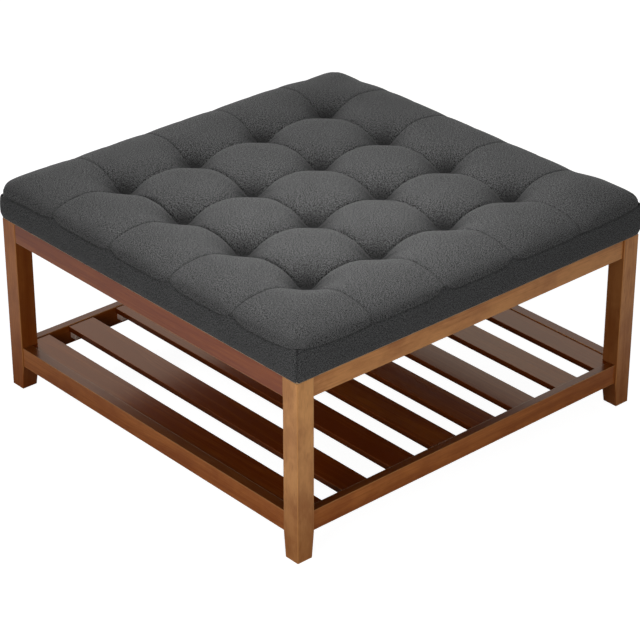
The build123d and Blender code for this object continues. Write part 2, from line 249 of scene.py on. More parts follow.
class Effect:
    """A node group that several finishes share."""

    name = "effect"
    sockets_in: dict[str, tuple[str, object]] = {}
    sockets_out: tuple[str, ...] = ()

    def __init__(self) -> None:
        """Builds the group once."""
        self.group = bpy.data.node_groups.new(self.name, "ShaderNodeTree")
        for name, (kind, value) in self.sockets_in.items():
            socket = self.group.interface.new_socket(name, in_out="INPUT", socket_type=kind)
            if value is not None:
                socket.default_value = value
        for name in self.sockets_out:
            self.group.interface.new_socket(name, in_out="OUTPUT", socket_type="NodeSocketFloat")
        graph = Graph(self.group)
        inputs = graph.add("NodeGroupInput").outputs
        outputs = graph.add("NodeGroupOutput").inputs
        for name, value in self.draw(graph, inputs).items():
            graph.feed(outputs[name], value)

    def draw(self, graph: Graph, inputs: bpy.types.NodeOutputs) -> dict[str, Socket]:
        """Draws the group's nodes.

        Args:
            graph: the group's own tree.
            inputs: its input sockets.

        Returns:
            The value of each output.
        """
        raise NotImplementedError

    def put(self, graph: Graph, inputs: dict) -> bpy.types.NodeOutputs:
        """Places the group in a material with its own values, and returns its outputs."""
        return graph.add("ShaderNodeGroup", inputs, node_tree=self.group).outputs


class WoodGrain(Effect):
    """Fine streaks, broad figure and pores along X of the coordinates it is given."""

    name = "wood_grain"
    sockets_in = {"Vector": ("NodeSocketVector", None), "Figure": ("NodeSocketFloat", 1.0)}
    sockets_out = ("Figure", "Streak", "Pore")

    def draw(self, graph: Graph, inputs: bpy.types.NodeOutputs) -> dict[str, Socket]:
        """Draws the grain. Figure is distorted bands across it. Streaks and pores are noise drawn out
        along it.

        Args:
            graph: the group's own tree.
            inputs: its input sockets.

        Returns:
            The value of each output.
        """
        where = inputs["Vector"]
        sway = graph.noise(graph.stretched(where, (1.6, 9.0, 9.0)), 1.0, 3.0, 0.5)
        bend = graph.joined(0.0, graph.times(sway, 0.05), graph.times(sway, 0.035))
        across = graph.vector("ADD", where, bend)
        broad = graph.noise(graph.stretched(across, (1.1, 42.0, 42.0)), 1.0, 3.0, 0.55, 0.25)
        fine = graph.noise(graph.stretched(across, (7.0, 330.0, 330.0)), 1.0, 3.0, 0.6)
        pore = graph.noise(graph.stretched(across, (38.0, 1100.0, 1100.0)), 1.0, 1.0, 0.5)
        figure = graph.times(graph.spread(broad, 0.3, 0.72), inputs["Figure"])
        streak = graph.spread(fine, 0.3, 0.7)
        return {"Figure": figure, "Streak": streak, "Pore": graph.spread(pore, 0.6, 0.78)}


class ArrisMask(Effect):
    """1 along the edges of a squared piece, from how near a point is to two of its faces at once."""

    name = "arris_mask"
    sockets_in = {
        "Vector": ("NodeSocketVector", None),
        "Low": ("NodeSocketVector", None),
        "High": ("NodeSocketVector", None),
        "Width": ("NodeSocketFloat", 0.002),
    }
    sockets_out = ("Mask",)

    def draw(self, graph: Graph, inputs: bpy.types.NodeOutputs) -> dict[str, Socket]:
        """Draws the mask: the middle one of the three distances to the nearest faces, against the width.

        Args:
            graph: the group's own tree.
            inputs: its input sockets.

        Returns:
            The value of each output.
        """
        below = graph.vector("SUBTRACT", inputs["Vector"], inputs["Low"])
        above = graph.vector("SUBTRACT", inputs["High"], inputs["Vector"])
        x, y, z = graph.parts(graph.vector("MINIMUM", below, above))
        lowest = graph.math("MINIMUM", graph.math("MINIMUM", x, y), z)
        highest = graph.math("MAXIMUM", graph.math("MAXIMUM", x, y), z)
        total = graph.plus(graph.plus(x, y), z)
        middle = graph.math("SUBTRACT", graph.math("SUBTRACT", total, lowest), highest)
        ratio = graph.math("DIVIDE", middle, inputs["Width"])
        return {"Mask": graph.math("SUBTRACT", 1.0, graph.spread(ratio, 0.25, 1.0))}


class LinenWeave(Effect):
    """A heathered plain weave: slubby warp and weft, speckle, and the height of the threads."""

    name = "linen_weave"
    sockets_in = {"Vector": ("NodeSocketVector", None), "Thread": ("NodeSocketFloat", 0.0011)}
    sockets_out = ("Heather", "Height", "Broad")

    def draw(self, graph: Graph, inputs: bpy.types.NodeOutputs) -> dict[str, Socket]:
        """Draws the weave. Each yarn is noise drawn out along it, and they swap places in a checker of sines.

        Args:
            graph: the group's own tree.
            inputs: its input sockets.

        Returns:
            The value of each output.
        """
        thread = inputs["Thread"]
        threads = graph.vector("DIVIDE", inputs["Vector"], graph.joined(thread, thread, thread))
        warp = graph.noise(graph.stretched(threads, (0.66, 0.17, 0.3)), 1.0, 2.0, 0.6)
        weft = graph.noise(graph.stretched(threads, (0.17, 0.66, 0.3), (7.3, 1.9, 0.0)), 1.0, 2.0, 0.6)
        speck = graph.noise(graph.stretched(threads, (0.5, 0.5, 0.5)), 1.0, 1.0, 0.5)
        fleck = graph.noise(graph.stretched(threads, (0.19, 0.19, 0.19), (3.1, 8.7, 0.0)), 1.0, 1.0, 0.5)
        across = graph.parts(threads)
        waves = [graph.math("SINE", graph.times(across[axis], math.pi)) for axis in (0, 1)]
        yarns = graph.weighed((warp, 0.5), (weft, 0.5))
        heather = graph.weighed((yarns, 0.46), (speck, 0.47), (fleck, 0.07))
        height = graph.plus(graph.times(graph.times(*waves), 0.35), heather)
        broad = graph.noise(inputs["Vector"], 14.0, 2.0, 0.5)
        return {"Heather": graph.spread(heather, 0.484, 0.516), "Height": height, "Broad": broad}


@dataclass(frozen=True)
class Effects:
    """The shared node groups."""

    grain: WoodGrain
    arris: ArrisMask
    weave: LinenWeave


def new_material(name: str) -> tuple[Material, Graph]:
    """Makes an empty material.

    Args:
        name: the material's name.

    Returns:
        The material and its tree.
    """
    material = bpy.data.materials.new(name)
    material.use_nodes = True
    return material, Graph(material.node_tree)


def paint(piece: Piece, material: Material) -> None:
    """Gives a piece one material in place of what it had."""
    piece.data.materials.clear()
    piece.data.materials.append(material)


@dataclass(frozen=True)
class StainedWood:
    """Satin brown stain over fine-grained hardwood, worn a little paler on the edges.

    The stain runs from pale, on boards that took little of it, over light and dark to pore, where it is
    thickest. The pore colour also serves as painted shade on faces turned in to the table, and the dark
    colour as painted shade at the legs' feet. Each amount is the most that its effect mixes in.
    """

    pale: Colour = (0.69, 0.31, 0.100, 1.0)
    light: Colour = (0.47, 0.128, 0.014, 1.0)
    dark: Colour = (0.20, 0.031, 0.001, 1.0)
    pore: Colour = (0.10, 0.018, 0.002, 1.0)
    worn: Colour = (0.58, 0.26, 0.075, 1.0)
    varnish: Colour = (1.0, 0.70, 0.45, 1.0)
    roughness: float = 0.21
    gloss: float = 0.5
    figure_amount: float = 0.62
    contrast: float = 0.66
    tone_amount: float = 0.4
    tone_start: float = 0.09
    mottle_stretch: Point = (13.0, 24.0, 24.0)
    mottle_amount: float = 0.42
    pore_amount: float = 0.35
    # Painted shade on the faces turned in to the table
    inner_shade_amount: float = 0.62
    # Painted shade near the floor: the legs darken from foot_top down to foot_bottom
    foot_shade_amount: float = 0.45
    foot_top: float = 0.26
    foot_bottom: float = 0.02
    wear: tuple[float, float] = (0.15, 0.5)
    arris_width: float = 0.0024
    arris_round: float = 0.0012
    relief: float = 0.00003
    board_step: Point = (0.37, 0.113, 0.071)
    covered_level: float = 0.37
    covered_lift: float = 0.02

    def inner_face_shade(self, node: str, axis: GrainAxis, graph: Graph) -> Socket:
        """1 on the faces that look in to the table's middle, on both long sides of a slat and on a lower
        rail's top. It marks painted shade: these faces darken towards the pore colour, as if shaded by the
        table's body.

        Args:
            node: the CAD node's name.
            axis: the axis of its grain.
            graph: the material's tree.

        Returns:
            The mask.
        """
        low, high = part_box(node)
        facing = graph.facing()
        faces = []
        for k, along in ((0, GrainAxis.ALONG_X), (1, GrainAxis.ALONG_Y)):
            if axis is along:
                continue
            if "slat" in node:
                faces.append(graph.math("ABSOLUTE", facing[k]))
            else:
                faces.append(graph.times(facing[k], -1.0 if low[k] + high[k] > 0.0 else 1.0))
        if "lower_rail" in node:
            faces.append(facing[2])
        nearest = faces[0] if len(faces) == 1 else graph.math("MAXIMUM", faces[0], faces[1])
        return graph.spread(nearest, 0.5, 0.8)

    def dress(
        self, node: str, piece: Piece, axis: GrainAxis, seed: int, effects: Effects, tone: float
    ) -> None:
        """Gives one wooden node its own cut of the stained wood.

        Args:
            node: the CAD node's name.
            piece: its object.
            axis: the axis of its grain.
            seed: moves the grain, so that no two boards match.
            effects: the shared node groups.
            tone: how much darker than usual this board took the stain, and below 0 how much paler.
        """
        material, graph = new_material(f"stain_{node}")
        place = graph.place()
        board = tuple(step * seed for step in self.board_step)
        shifted = graph.stretched(graph.turned(place, axis), (1.0, 1.0, 1.0), board)
        grain = effects.grain.put(graph, {"Vector": shifted, "Figure": 1.0})
        low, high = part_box(node)
        lift = self.covered_lift if high[2] > self.covered_level else 0.0
        ends = {"Low": tuple(low), "High": (high[0], high[1], high[2] + lift)}
        arris = effects.arris.put(graph, {"Vector": place, "Width": self.arris_width, **ends})["Mask"]
        mottle = graph.noise(graph.stretched(shifted, self.mottle_stretch), 1.0, 3.0, 0.6)
        figure = (grain["Figure"], self.figure_amount)
        body = graph.weighed(figure, (grain["Streak"], 1.0 - self.figure_amount))
        level = self.tone_amount * tone + self.tone_start
        toned = graph.math("ADD", graph.times(body, self.contrast), level, clamp=True)
        bare = tuple(np.add(self.light, max(-tone, 0.0) * np.subtract(self.pale, self.light)))
        stained = graph.blend(toned, bare, self.dark)
        stained = graph.blend(graph.spread(mottle, 0.35, 0.7, (0.0, self.mottle_amount)), stained, self.dark)
        stained = graph.blend(graph.times(grain["Pore"], self.pore_amount), stained, self.pore)
        # Painted shade near the floor: legs darken towards their feet
        if axis is GrainAxis.ALONG_Z:
            up = graph.parts(place)[2]
            foot = graph.spread(up, self.foot_top, self.foot_bottom, (0.0, self.foot_shade_amount))
            stained = graph.blend(foot, stained, self.dark)
        # Painted shade: the faces turned in to the table darken towards the pore colour
        inner = graph.times(self.inner_face_shade(node, axis, graph), self.inner_shade_amount)
        stained = graph.blend(inner, stained, self.pore)
        rubbed = graph.times(arris, graph.spread(mottle, 0.2, 0.6, self.wear))
        rounded = graph.add("ShaderNodeBevel", {"Radius": self.arris_round}, samples=6).outputs[0]
        relief = graph.math("SUBTRACT", graph.times(grain["Streak"], 0.4), grain["Pore"])
        graph.close({
            "Base Color": graph.blend(rubbed, stained, self.worn),
            "Roughness": graph.plus(self.roughness, graph.times(grain["Streak"], 0.05)),
            "IOR": 1.5,
            "Specular IOR Level": self.gloss,
            "Specular Tint": self.varnish,
            "Normal": graph.bump(relief, self.relief, 0.6, rounded),
        })
        paint(piece, material)


@dataclass(frozen=True)
class BareWood:
    """Unstained wood of the hidden blocks and dowels."""

    light: Colour = (0.72, 0.52, 0.36, 1.0)
    dark: Colour = (0.50, 0.31, 0.18, 1.0)
    roughness: float = 0.6
    axis: GrainAxis = GrainAxis.ALONG_Y

    def make(self, effects: Effects) -> Material:
        """Makes the bare wood's material.

        Args:
            effects: the shared node groups.

        Returns:
            The material.
        """
        material, graph = new_material(f"bare_pale_wood_{self.axis.name.lower()}")
        grain = effects.grain.put(graph, {"Vector": graph.turned(graph.place(), self.axis), "Figure": 0.8})
        body = graph.weighed((grain["Figure"], 0.6), (grain["Pore"], 0.4))
        graph.close({
            "Base Color": graph.blend(body, self.light, self.dark),
            "Roughness": graph.plus(self.roughness, graph.times(grain["Streak"], 0.15)),
            "Normal": graph.bump(grain["Streak"], 0.0001, 0.5),
        })
        return material


@dataclass(frozen=True)
class Plywood:
    """Plywood: face veneer above and below, and the plies showing on the cut edges."""

    veneer: Colour = (0.62, 0.44, 0.27, 1.0)
    heart: Colour = (0.42, 0.26, 0.14, 1.0)
    plies: float = 5.0
    thickness: float = 0.012

    def make(self, effects: Effects) -> Material:
        """Makes the plywood's material. The plies are a sine of the level, two of them to a turn.

        Args:
            effects: the shared node groups.

        Returns:
            The material.
        """
        material, graph = new_material("birch_ply")
        place = graph.place()
        grain = effects.grain.put(graph, {"Vector": place, "Figure": 1.0})
        cut = graph.math("LESS_THAN", graph.math("ABSOLUTE", graph.facing()[2]), 0.5)
        plies = graph.math("SINE", graph.times(graph.parts(place)[2], math.pi * self.plies / self.thickness))
        face = graph.blend(graph.times(grain["Figure"], 0.6), self.veneer, self.heart)
        edge = graph.blend(graph.spread(plies, -0.4, 0.4), self.veneer, self.heart)
        graph.close({
            "Base Color": graph.blend(cut, face, edge),
            "Roughness": graph.plus(0.6, graph.times(grain["Streak"], 0.1)),
            "Normal": graph.bump(grain["Streak"], 0.0001, 0.4),
        })
        return material


@dataclass(frozen=True)
class Linen:
    """Charcoal linen-look upholstery cloth, heathered with paler and darker yarns, and darkened by painted
    shade where its shade attribute says.
    """

    name: str = "charcoal_linen"
    light: Colour = (0.144, 0.144, 0.144, 1.0)
    dark: Colour = (0.001, 0.001, 0.0011, 1.0)
    # The painted shade's colour, in pits, pleats and seams
    fold: Colour = (0.004, 0.004, 0.0041, 1.0)
    sheen_tint: Colour = (0.77, 0.77, 0.77, 1.0)
    thread: float = 0.00078
    sheen: float = 0.10
    roughness: float = 0.82
    cloud_amount: float = 0.10
    painted_shade_amount: float = 0.92

    def make(self, effects: Effects) -> Material:
        """Makes the cloth's material, woven along the piece's own cloth map.

        Args:
            effects: the shared node groups.

        Returns:
            The material.
        """
        material, graph = new_material(self.name)
        cloth = graph.add("ShaderNodeUVMap", uv_map=CLOTH_MAP).outputs[0]
        weave = effects.weave.put(graph, {"Vector": cloth, "Thread": self.thread})
        # Painted shade: the shade attribute darkens the colour towards the fold colour
        depth = graph.add("ShaderNodeAttribute", attribute_name=SHADE, attribute_type="GEOMETRY")
        deep = graph.times(depth.outputs["Fac"], self.painted_shade_amount)
        colour = graph.blend(weave["Heather"], self.dark, self.light)
        cloud = graph.spread(weave["Broad"], 0.3, 0.7, (0.0, self.cloud_amount))
        colour = graph.blend(cloud, colour, self.dark)
        graph.close({
            "Base Color": graph.blend(deep, colour, self.fold),
            "Roughness": graph.plus(self.roughness, graph.times(weave["Heather"], 0.1)),
            "Specular IOR Level": 0.25,
            "Sheen Weight": self.sheen,
            "Sheen Roughness": 0.45,
            "Sheen Tint": self.sheen_tint,
            "Normal": graph.bump(weave["Height"], 0.0003, 0.4),
        })
        return material


@dataclass(frozen=True)
class Metal:
    """Zinc-plated steel, a little streaked."""

    colour: Colour = (0.66, 0.67, 0.68, 1.0)
    dull: Colour = (0.42, 0.43, 0.45, 1.0)
    streak_scale: float = 260.0

    def make(self) -> Material:
        """Makes the plated steel's material.

        Returns:
            The material.
        """
        material, graph = new_material("zinc_plate")
        cloud = graph.noise(graph.place(), self.streak_scale, 3.0, 0.6)
        graph.close({
            "Base Color": graph.blend(graph.spread(cloud, 0.3, 0.7), self.colour, self.dull),
            "Metallic": 1.0,
            "Roughness": graph.plus(0.28, graph.times(cloud, 0.2)),
        })
        return material


@dataclass(frozen=True)
class Plain:
    """A moulded, foamed or spun material: one colour that clouds towards another, with a fine grain."""

    name: str
    colour: Colour
    cloud: Colour
    scale: float
    roughness: float
    relief: float = 0.0002

    def make(self) -> Material:
        """Makes the material.

        Returns:
            The material.
        """
        material, graph = new_material(self.name)
        place = graph.place()
        grain = graph.noise(place, self.scale, 4.0, 0.6)
        broad = graph.noise(place, 22.0, 2.0, 0.5)
        clouded = graph.spread(graph.weighed((grain, 0.6), (broad, 0.4)), 0.35, 0.65)
        graph.close({
            "Base Color": graph.blend(clouded, self.colour, self.cloud),
            "Roughness": graph.plus(self.roughness, graph.times(grain, 0.1)),
            "Normal": graph.bump(grain, self.relief, 0.6),
        })
        return material


# Painted shade: a darker copy of the linen for the upright side band
SHADED_BAND_LINEN = Linen("charcoal_linen_band_painted_shade", (0.106, 0.107, 0.108, 1.0), (0.006, 0.006, 0.0062, 1.0))
BLOCK_WOOD = BareWood((0.78, 0.60, 0.50, 1.0), (0.60, 0.42, 0.33, 1.0), axis=GrainAxis.ALONG_X)
CREAM_FOAM = Plain("cream_foam", (0.80, 0.74, 0.58, 1.0), (0.70, 0.63, 0.47, 1.0), 900.0, 0.9, 0.0005)
SPUN_CLOTH = Plain("spun_cloth", (0.030, 0.030, 0.032, 1.0), (0.055, 0.055, 0.058, 1.0), 1500.0, 0.85, 0.0003)
BLACK_PLASTIC = Plain("black_plastic", (0.035, 0.035, 0.038, 1.0), (0.055, 0.055, 0.058, 1.0), 500.0, 0.4)
WAXED_TWINE = Plain("waxed_twine", (0.62, 0.55, 0.42, 1.0), (0.46, 0.39, 0.28, 1.0), 2200.0, 0.7)


def bell(distance: np.ndarray, width: float) -> np.ndarray:
    """A smooth hump: e to the minus square of distance over width."""
    return np.exp(-((distance / width) ** 2))


def ease(value: np.ndarray) -> np.ndarray:
    """3v^2 - 2v^3 for v held between 0 and 1."""
    held = np.clip(value, 0.0, 1.0)
    return held * held * (3.0 - 2.0 * held)


def tufts(x: np.ndarray, y: np.ndarray) -> Iterator[tuple[np.ndarray, np.ndarray]]:
    """Takes the tufts in turn, by X and then by Y.

    Args:
        x: places across the cushion.
        y: places along it.

    Yields:
        Their distance from the tuft and their angle about it.
    """
    for line_x in TUFT_LINES:
        for line_y in TUFT_LINES:
            yield np.hypot(x - line_x, y - line_y), np.arctan2(y - line_y, x - line_x)


def mesh_piece(
    name: str,
    points: np.ndarray,
    faces: list[np.ndarray],
    cloth: np.ndarray | None = None,
    shade: np.ndarray | None = None,
) -> Piece:
    """Makes a smooth mesh object at the origin.

    Args:
        name: the piece's name.
        points: its corners, as rows of x, y and z.
        faces: arrays of corner numbers, each of faces with one count of corners.
        cloth: the cloth map's u and v at each corner, in metres.
        shade: painted shade at each corner, from 0 to 1, which darkens the cloth's colour.

    Returns:
        The new object, linked to the scene.
    """
    mesh = bpy.data.meshes.new(name)
    corners = np.concatenate([f.ravel() for f in faces]).astype(np.int32)
    sizes = np.concatenate([np.full(len(f), f.shape[1]) for f in faces]).astype(np.int32)
    starts = np.concatenate([[0], np.cumsum(sizes)[:-1]]).astype(np.int32)
    mesh.vertices.add(len(points))
    mesh.vertices.foreach_set("co", points.astype(np.float32).ravel())
    mesh.loops.add(len(corners))
    mesh.loops.foreach_set("vertex_index", corners)
    mesh.polygons.add(len(sizes))
    mesh.polygons.foreach_set("loop_start", starts)
    mesh.polygons.foreach_set("use_smooth", np.ones(len(sizes), bool))
    mesh.update(calc_edges=True)
    if cloth is not None:
        layer = mesh.uv_layers.new(name=CLOTH_MAP)
        layer.data.foreach_set("uv", cloth[corners].astype(np.float32).ravel())
    if shade is not None:
        depth = mesh.attributes.new(SHADE, "FLOAT", "POINT")
        depth.data.foreach_set("value", shade.astype(np.float32).ravel())
    mesh.validate()
    piece = bpy.data.objects.new(name, mesh)
    bpy.context.scene.collection.objects.link(piece)
    return piece


def grid_faces(rows: int, columns: int, start: int = 0, closed: bool = False) -> np.ndarray:
    """Corner numbers of the quads of a grid.

    Args:
        rows: points along the first parameter.
        columns: points along the second.
        start: number of the grid's first point.
        closed: whether the last column joins the first.

    Returns:
        An array of quads, which face up where the first parameter runs along X and the second along Y.
    """
    number = start + np.arange(rows * columns).reshape(rows, columns)
    if closed:
        number = np.concatenate([number, number[:, :1]], axis=1)
    quads = [number[:-1, :-1], number[1:, :-1], number[1:, 1:], number[:-1, 1:]]
    return np.stack(quads, axis=-1).reshape(-1, 4)


def border_numbers(size: int, start: int = 0) -> np.ndarray:
    """Numbers of a square grid's border points, in order round it from the grid's first point, start."""
    number = start + np.arange(size * size).reshape(size, size)
    return np.concatenate([number[:, 0], number[-1, 1:], number[-2::-1, -1], number[0, -2:0:-1]])


def ring_faces(upper: np.ndarray, lower: np.ndarray) -> np.ndarray:
    """Quads that face outwards between a ring of point numbers and the ring below it."""
    return np.stack([upper, lower, np.roll(lower, -1), np.roll(upper, -1)], axis=-1)[:, ::-1]


def slab_piece(name: str, upper: np.ndarray, lower: np.ndarray, mapped: bool = False) -> Piece:
    """Makes a closed slab of two square grids, joined round their borders.

    Args:
        name: the piece's name.
        upper: the upper face's grid of points.
        lower: the lower face's grid of points.
        mapped: whether it gets a cloth map, which is its plan.

    Returns:
        The piece, before its finish.
    """
    size = len(upper)
    ring = border_numbers(size)
    points = np.concatenate([upper.reshape(-1, 3), lower.reshape(-1, 3)])
    under = grid_faces(size, size, size * size)[:, ::-1]
    faces = [grid_faces(size, size), under, ring_faces(ring, ring + size * size)]
    return mesh_piece(name, points, faces, points[:, :2] if mapped else None)


@dataclass(frozen=True)
class SeamWave:
    """How the seam between cover and band runs: drawn up and in where a pleat meets it, and uneven in its
    corners. Side k runs from corner k to corner k + 1, and corner 0 is the front left one."""

    rises: tuple[tuple[float, ...], ...] = (
        (0.0085, 0.0085, 0.0090, 0.0125),
        (0.0010, 0.0135, 0.0115, 0.0010),
        (0.0085, 0.0085, 0.0085, 0.0085),
        (0.0085, 0.0085, 0.0085, 0.0085),
    )
    width: float = 0.018
    draw: float = 0.0026
    corners: tuple[float, ...] = (-0.0070, 0.0120, 0.0100, 0.0)
    corner_width: float = 0.055
    power: float = 1.6

    def pull(self, run: np.ndarray, middle: float, width: float) -> np.ndarray:
        """e^-|d/w|^p at distance d from a middle."""
        return np.exp(-((np.abs(run - middle) / width) ** self.power))

    def at(self, run: np.ndarray, side: int) -> tuple[np.ndarray, np.ndarray]:
        """The seam's rise and its draw inwards along one side.

        The rise is the sum of the pulls of the side's pleats and its two corners, each times its size. The
        draw follows the pleats alone.

        Args:
            run: distances from the side's middle.
            side: the side's number.

        Returns:
            The rise and the draw.
        """
        pulled = [self.pull(run, line, self.width) for line in TUFT_LINES]
        ends = [self.pull(run, end, self.corner_width) for end in (-CUSHION_HALF, CUSHION_HALF)]
        rise = sum(size * pull for size, pull in zip(self.rises[side], pulled))
        rise = rise + self.corners[side] * ends[0] + self.corners[(side + 1) % 4] * ends[1]
        return rise, self.draw * sum(pulled)

    def around(
        self, x: np.ndarray, y: np.ndarray
    ) -> tuple[tuple[np.ndarray, ...], tuple[np.ndarray, ...], np.ndarray]:
        """What the seam does by each point of the cover.

        Args:
            x: places across the cushion.
            y: places along it.

        Returns:
            The rise and draw of the nearer side across X, those of the nearer side across Y, and the nearest
            corner's own rise.
        """
        right, left = self.at(y, 1), self.at(-y, 3)
        front, back = self.at(x, 0), self.at(-x, 2)
        across_x = tuple(np.where(x > 0.0, a, b) for a, b in zip(right, left))
        across_y = tuple(np.where(y > 0.0, a, b) for a, b in zip(back, front))
        corner = np.where(y > 0.0, np.where(x > 0.0, 2, 3), np.where(x > 0.0, 1, 0))
        return across_x, across_y, np.array(self.corners)[corner]


@dataclass(frozen=True)
class Stuffing:
    """How the cover swells as cloth that the stuffing presses from below."""

    hold: float = 0.92
    pressure: float = 1.6
    mass: float = 0.2
    tension: float = 12.0
    shear: float = 6.0
    bending: float = 0.25
    shrink: float = -0.012
    quality: int = 6
    frames: int = 20
    cap: float = 0.006
    share: float = 0.22

    def swollen(self, grid: np.ndarray, lines: np.ndarray) -> np.ndarray:
        """Lets the cover swell, nearly held along its pleats and fully at its tufts and its seam.

        Args:
            grid: the cover's points.
            lines: numbers of the tuft lines.

        Returns:
            The points, moved by a set share of what the simulation moved them, itself no more than its cap.
        """
        rows, columns = grid.shape[:2]
        piece = mesh_piece("cover_cloth", grid.reshape(-1, 3), [grid_faces(rows, columns)])
        held = np.zeros((rows, columns))
        held[lines, :] = held[:, lines] = self.hold
        held[[0, -1], :] = held[:, [0, -1]] = 1.0
        held[np.ix_(lines, lines)] = 1.0
        group = piece.vertex_groups.new(name="held")
        for value in (self.hold, 1.0):
            group.add(np.flatnonzero(held.ravel() == value).tolist(), value, "REPLACE")
        cloth = piece.modifiers.new("cloth", "CLOTH")
        settings = cloth.settings
        settings.quality = self.quality
        settings.mass = self.mass
        settings.tension_stiffness = settings.compression_stiffness = self.tension
        settings.shear_stiffness = self.shear
        settings.bending_stiffness = self.bending
        settings.shrink_min = self.shrink
        settings.vertex_group_mass = group.name
        settings.use_pressure = True
        settings.uniform_pressure_force = self.pressure
        settings.effector_weights.gravity = 0.0
        cloth.collision_settings.use_collision = False
        cloth.collision_settings.use_self_collision = False
        cloth.point_cache.frame_start, cloth.point_cache.frame_end = 1, self.frames
        scene = bpy.context.scene
        for frame in range(1, self.frames + 1):
            scene.frame_set(frame)
        evaluated = piece.evaluated_get(bpy.context.evaluated_depsgraph_get())
        moved = np.empty(rows * columns * 3, np.float32)
        evaluated.data.vertices.foreach_get("co", moved)
        shift = moved.reshape(grid.shape) - grid
        far = np.linalg.norm(shift, axis=-1, keepdims=True)
        log.info("cover_cloth: points moved %.1f mm at most", 1000.0 * float(far.max()))
        scene.frame_set(1)
        bpy.data.objects.remove(piece)
        return grid + self.share * shift * np.minimum(1.0, self.cap / np.maximum(far, 1e-9))


@dataclass(frozen=True)
class PaintedFoldShade:
    """Painted shade on the cover: how strongly its tuft pits, the border's pleats and the seam line are
    darkened in colour, and how wide.
    """

    tuft_reach: float = 0.034
    tuft_power: float = 2.2
    pleat: float = 0.4
    pleat_reach: float = 0.03
    seam: float = 0.8
    seam_width: float = 0.0009


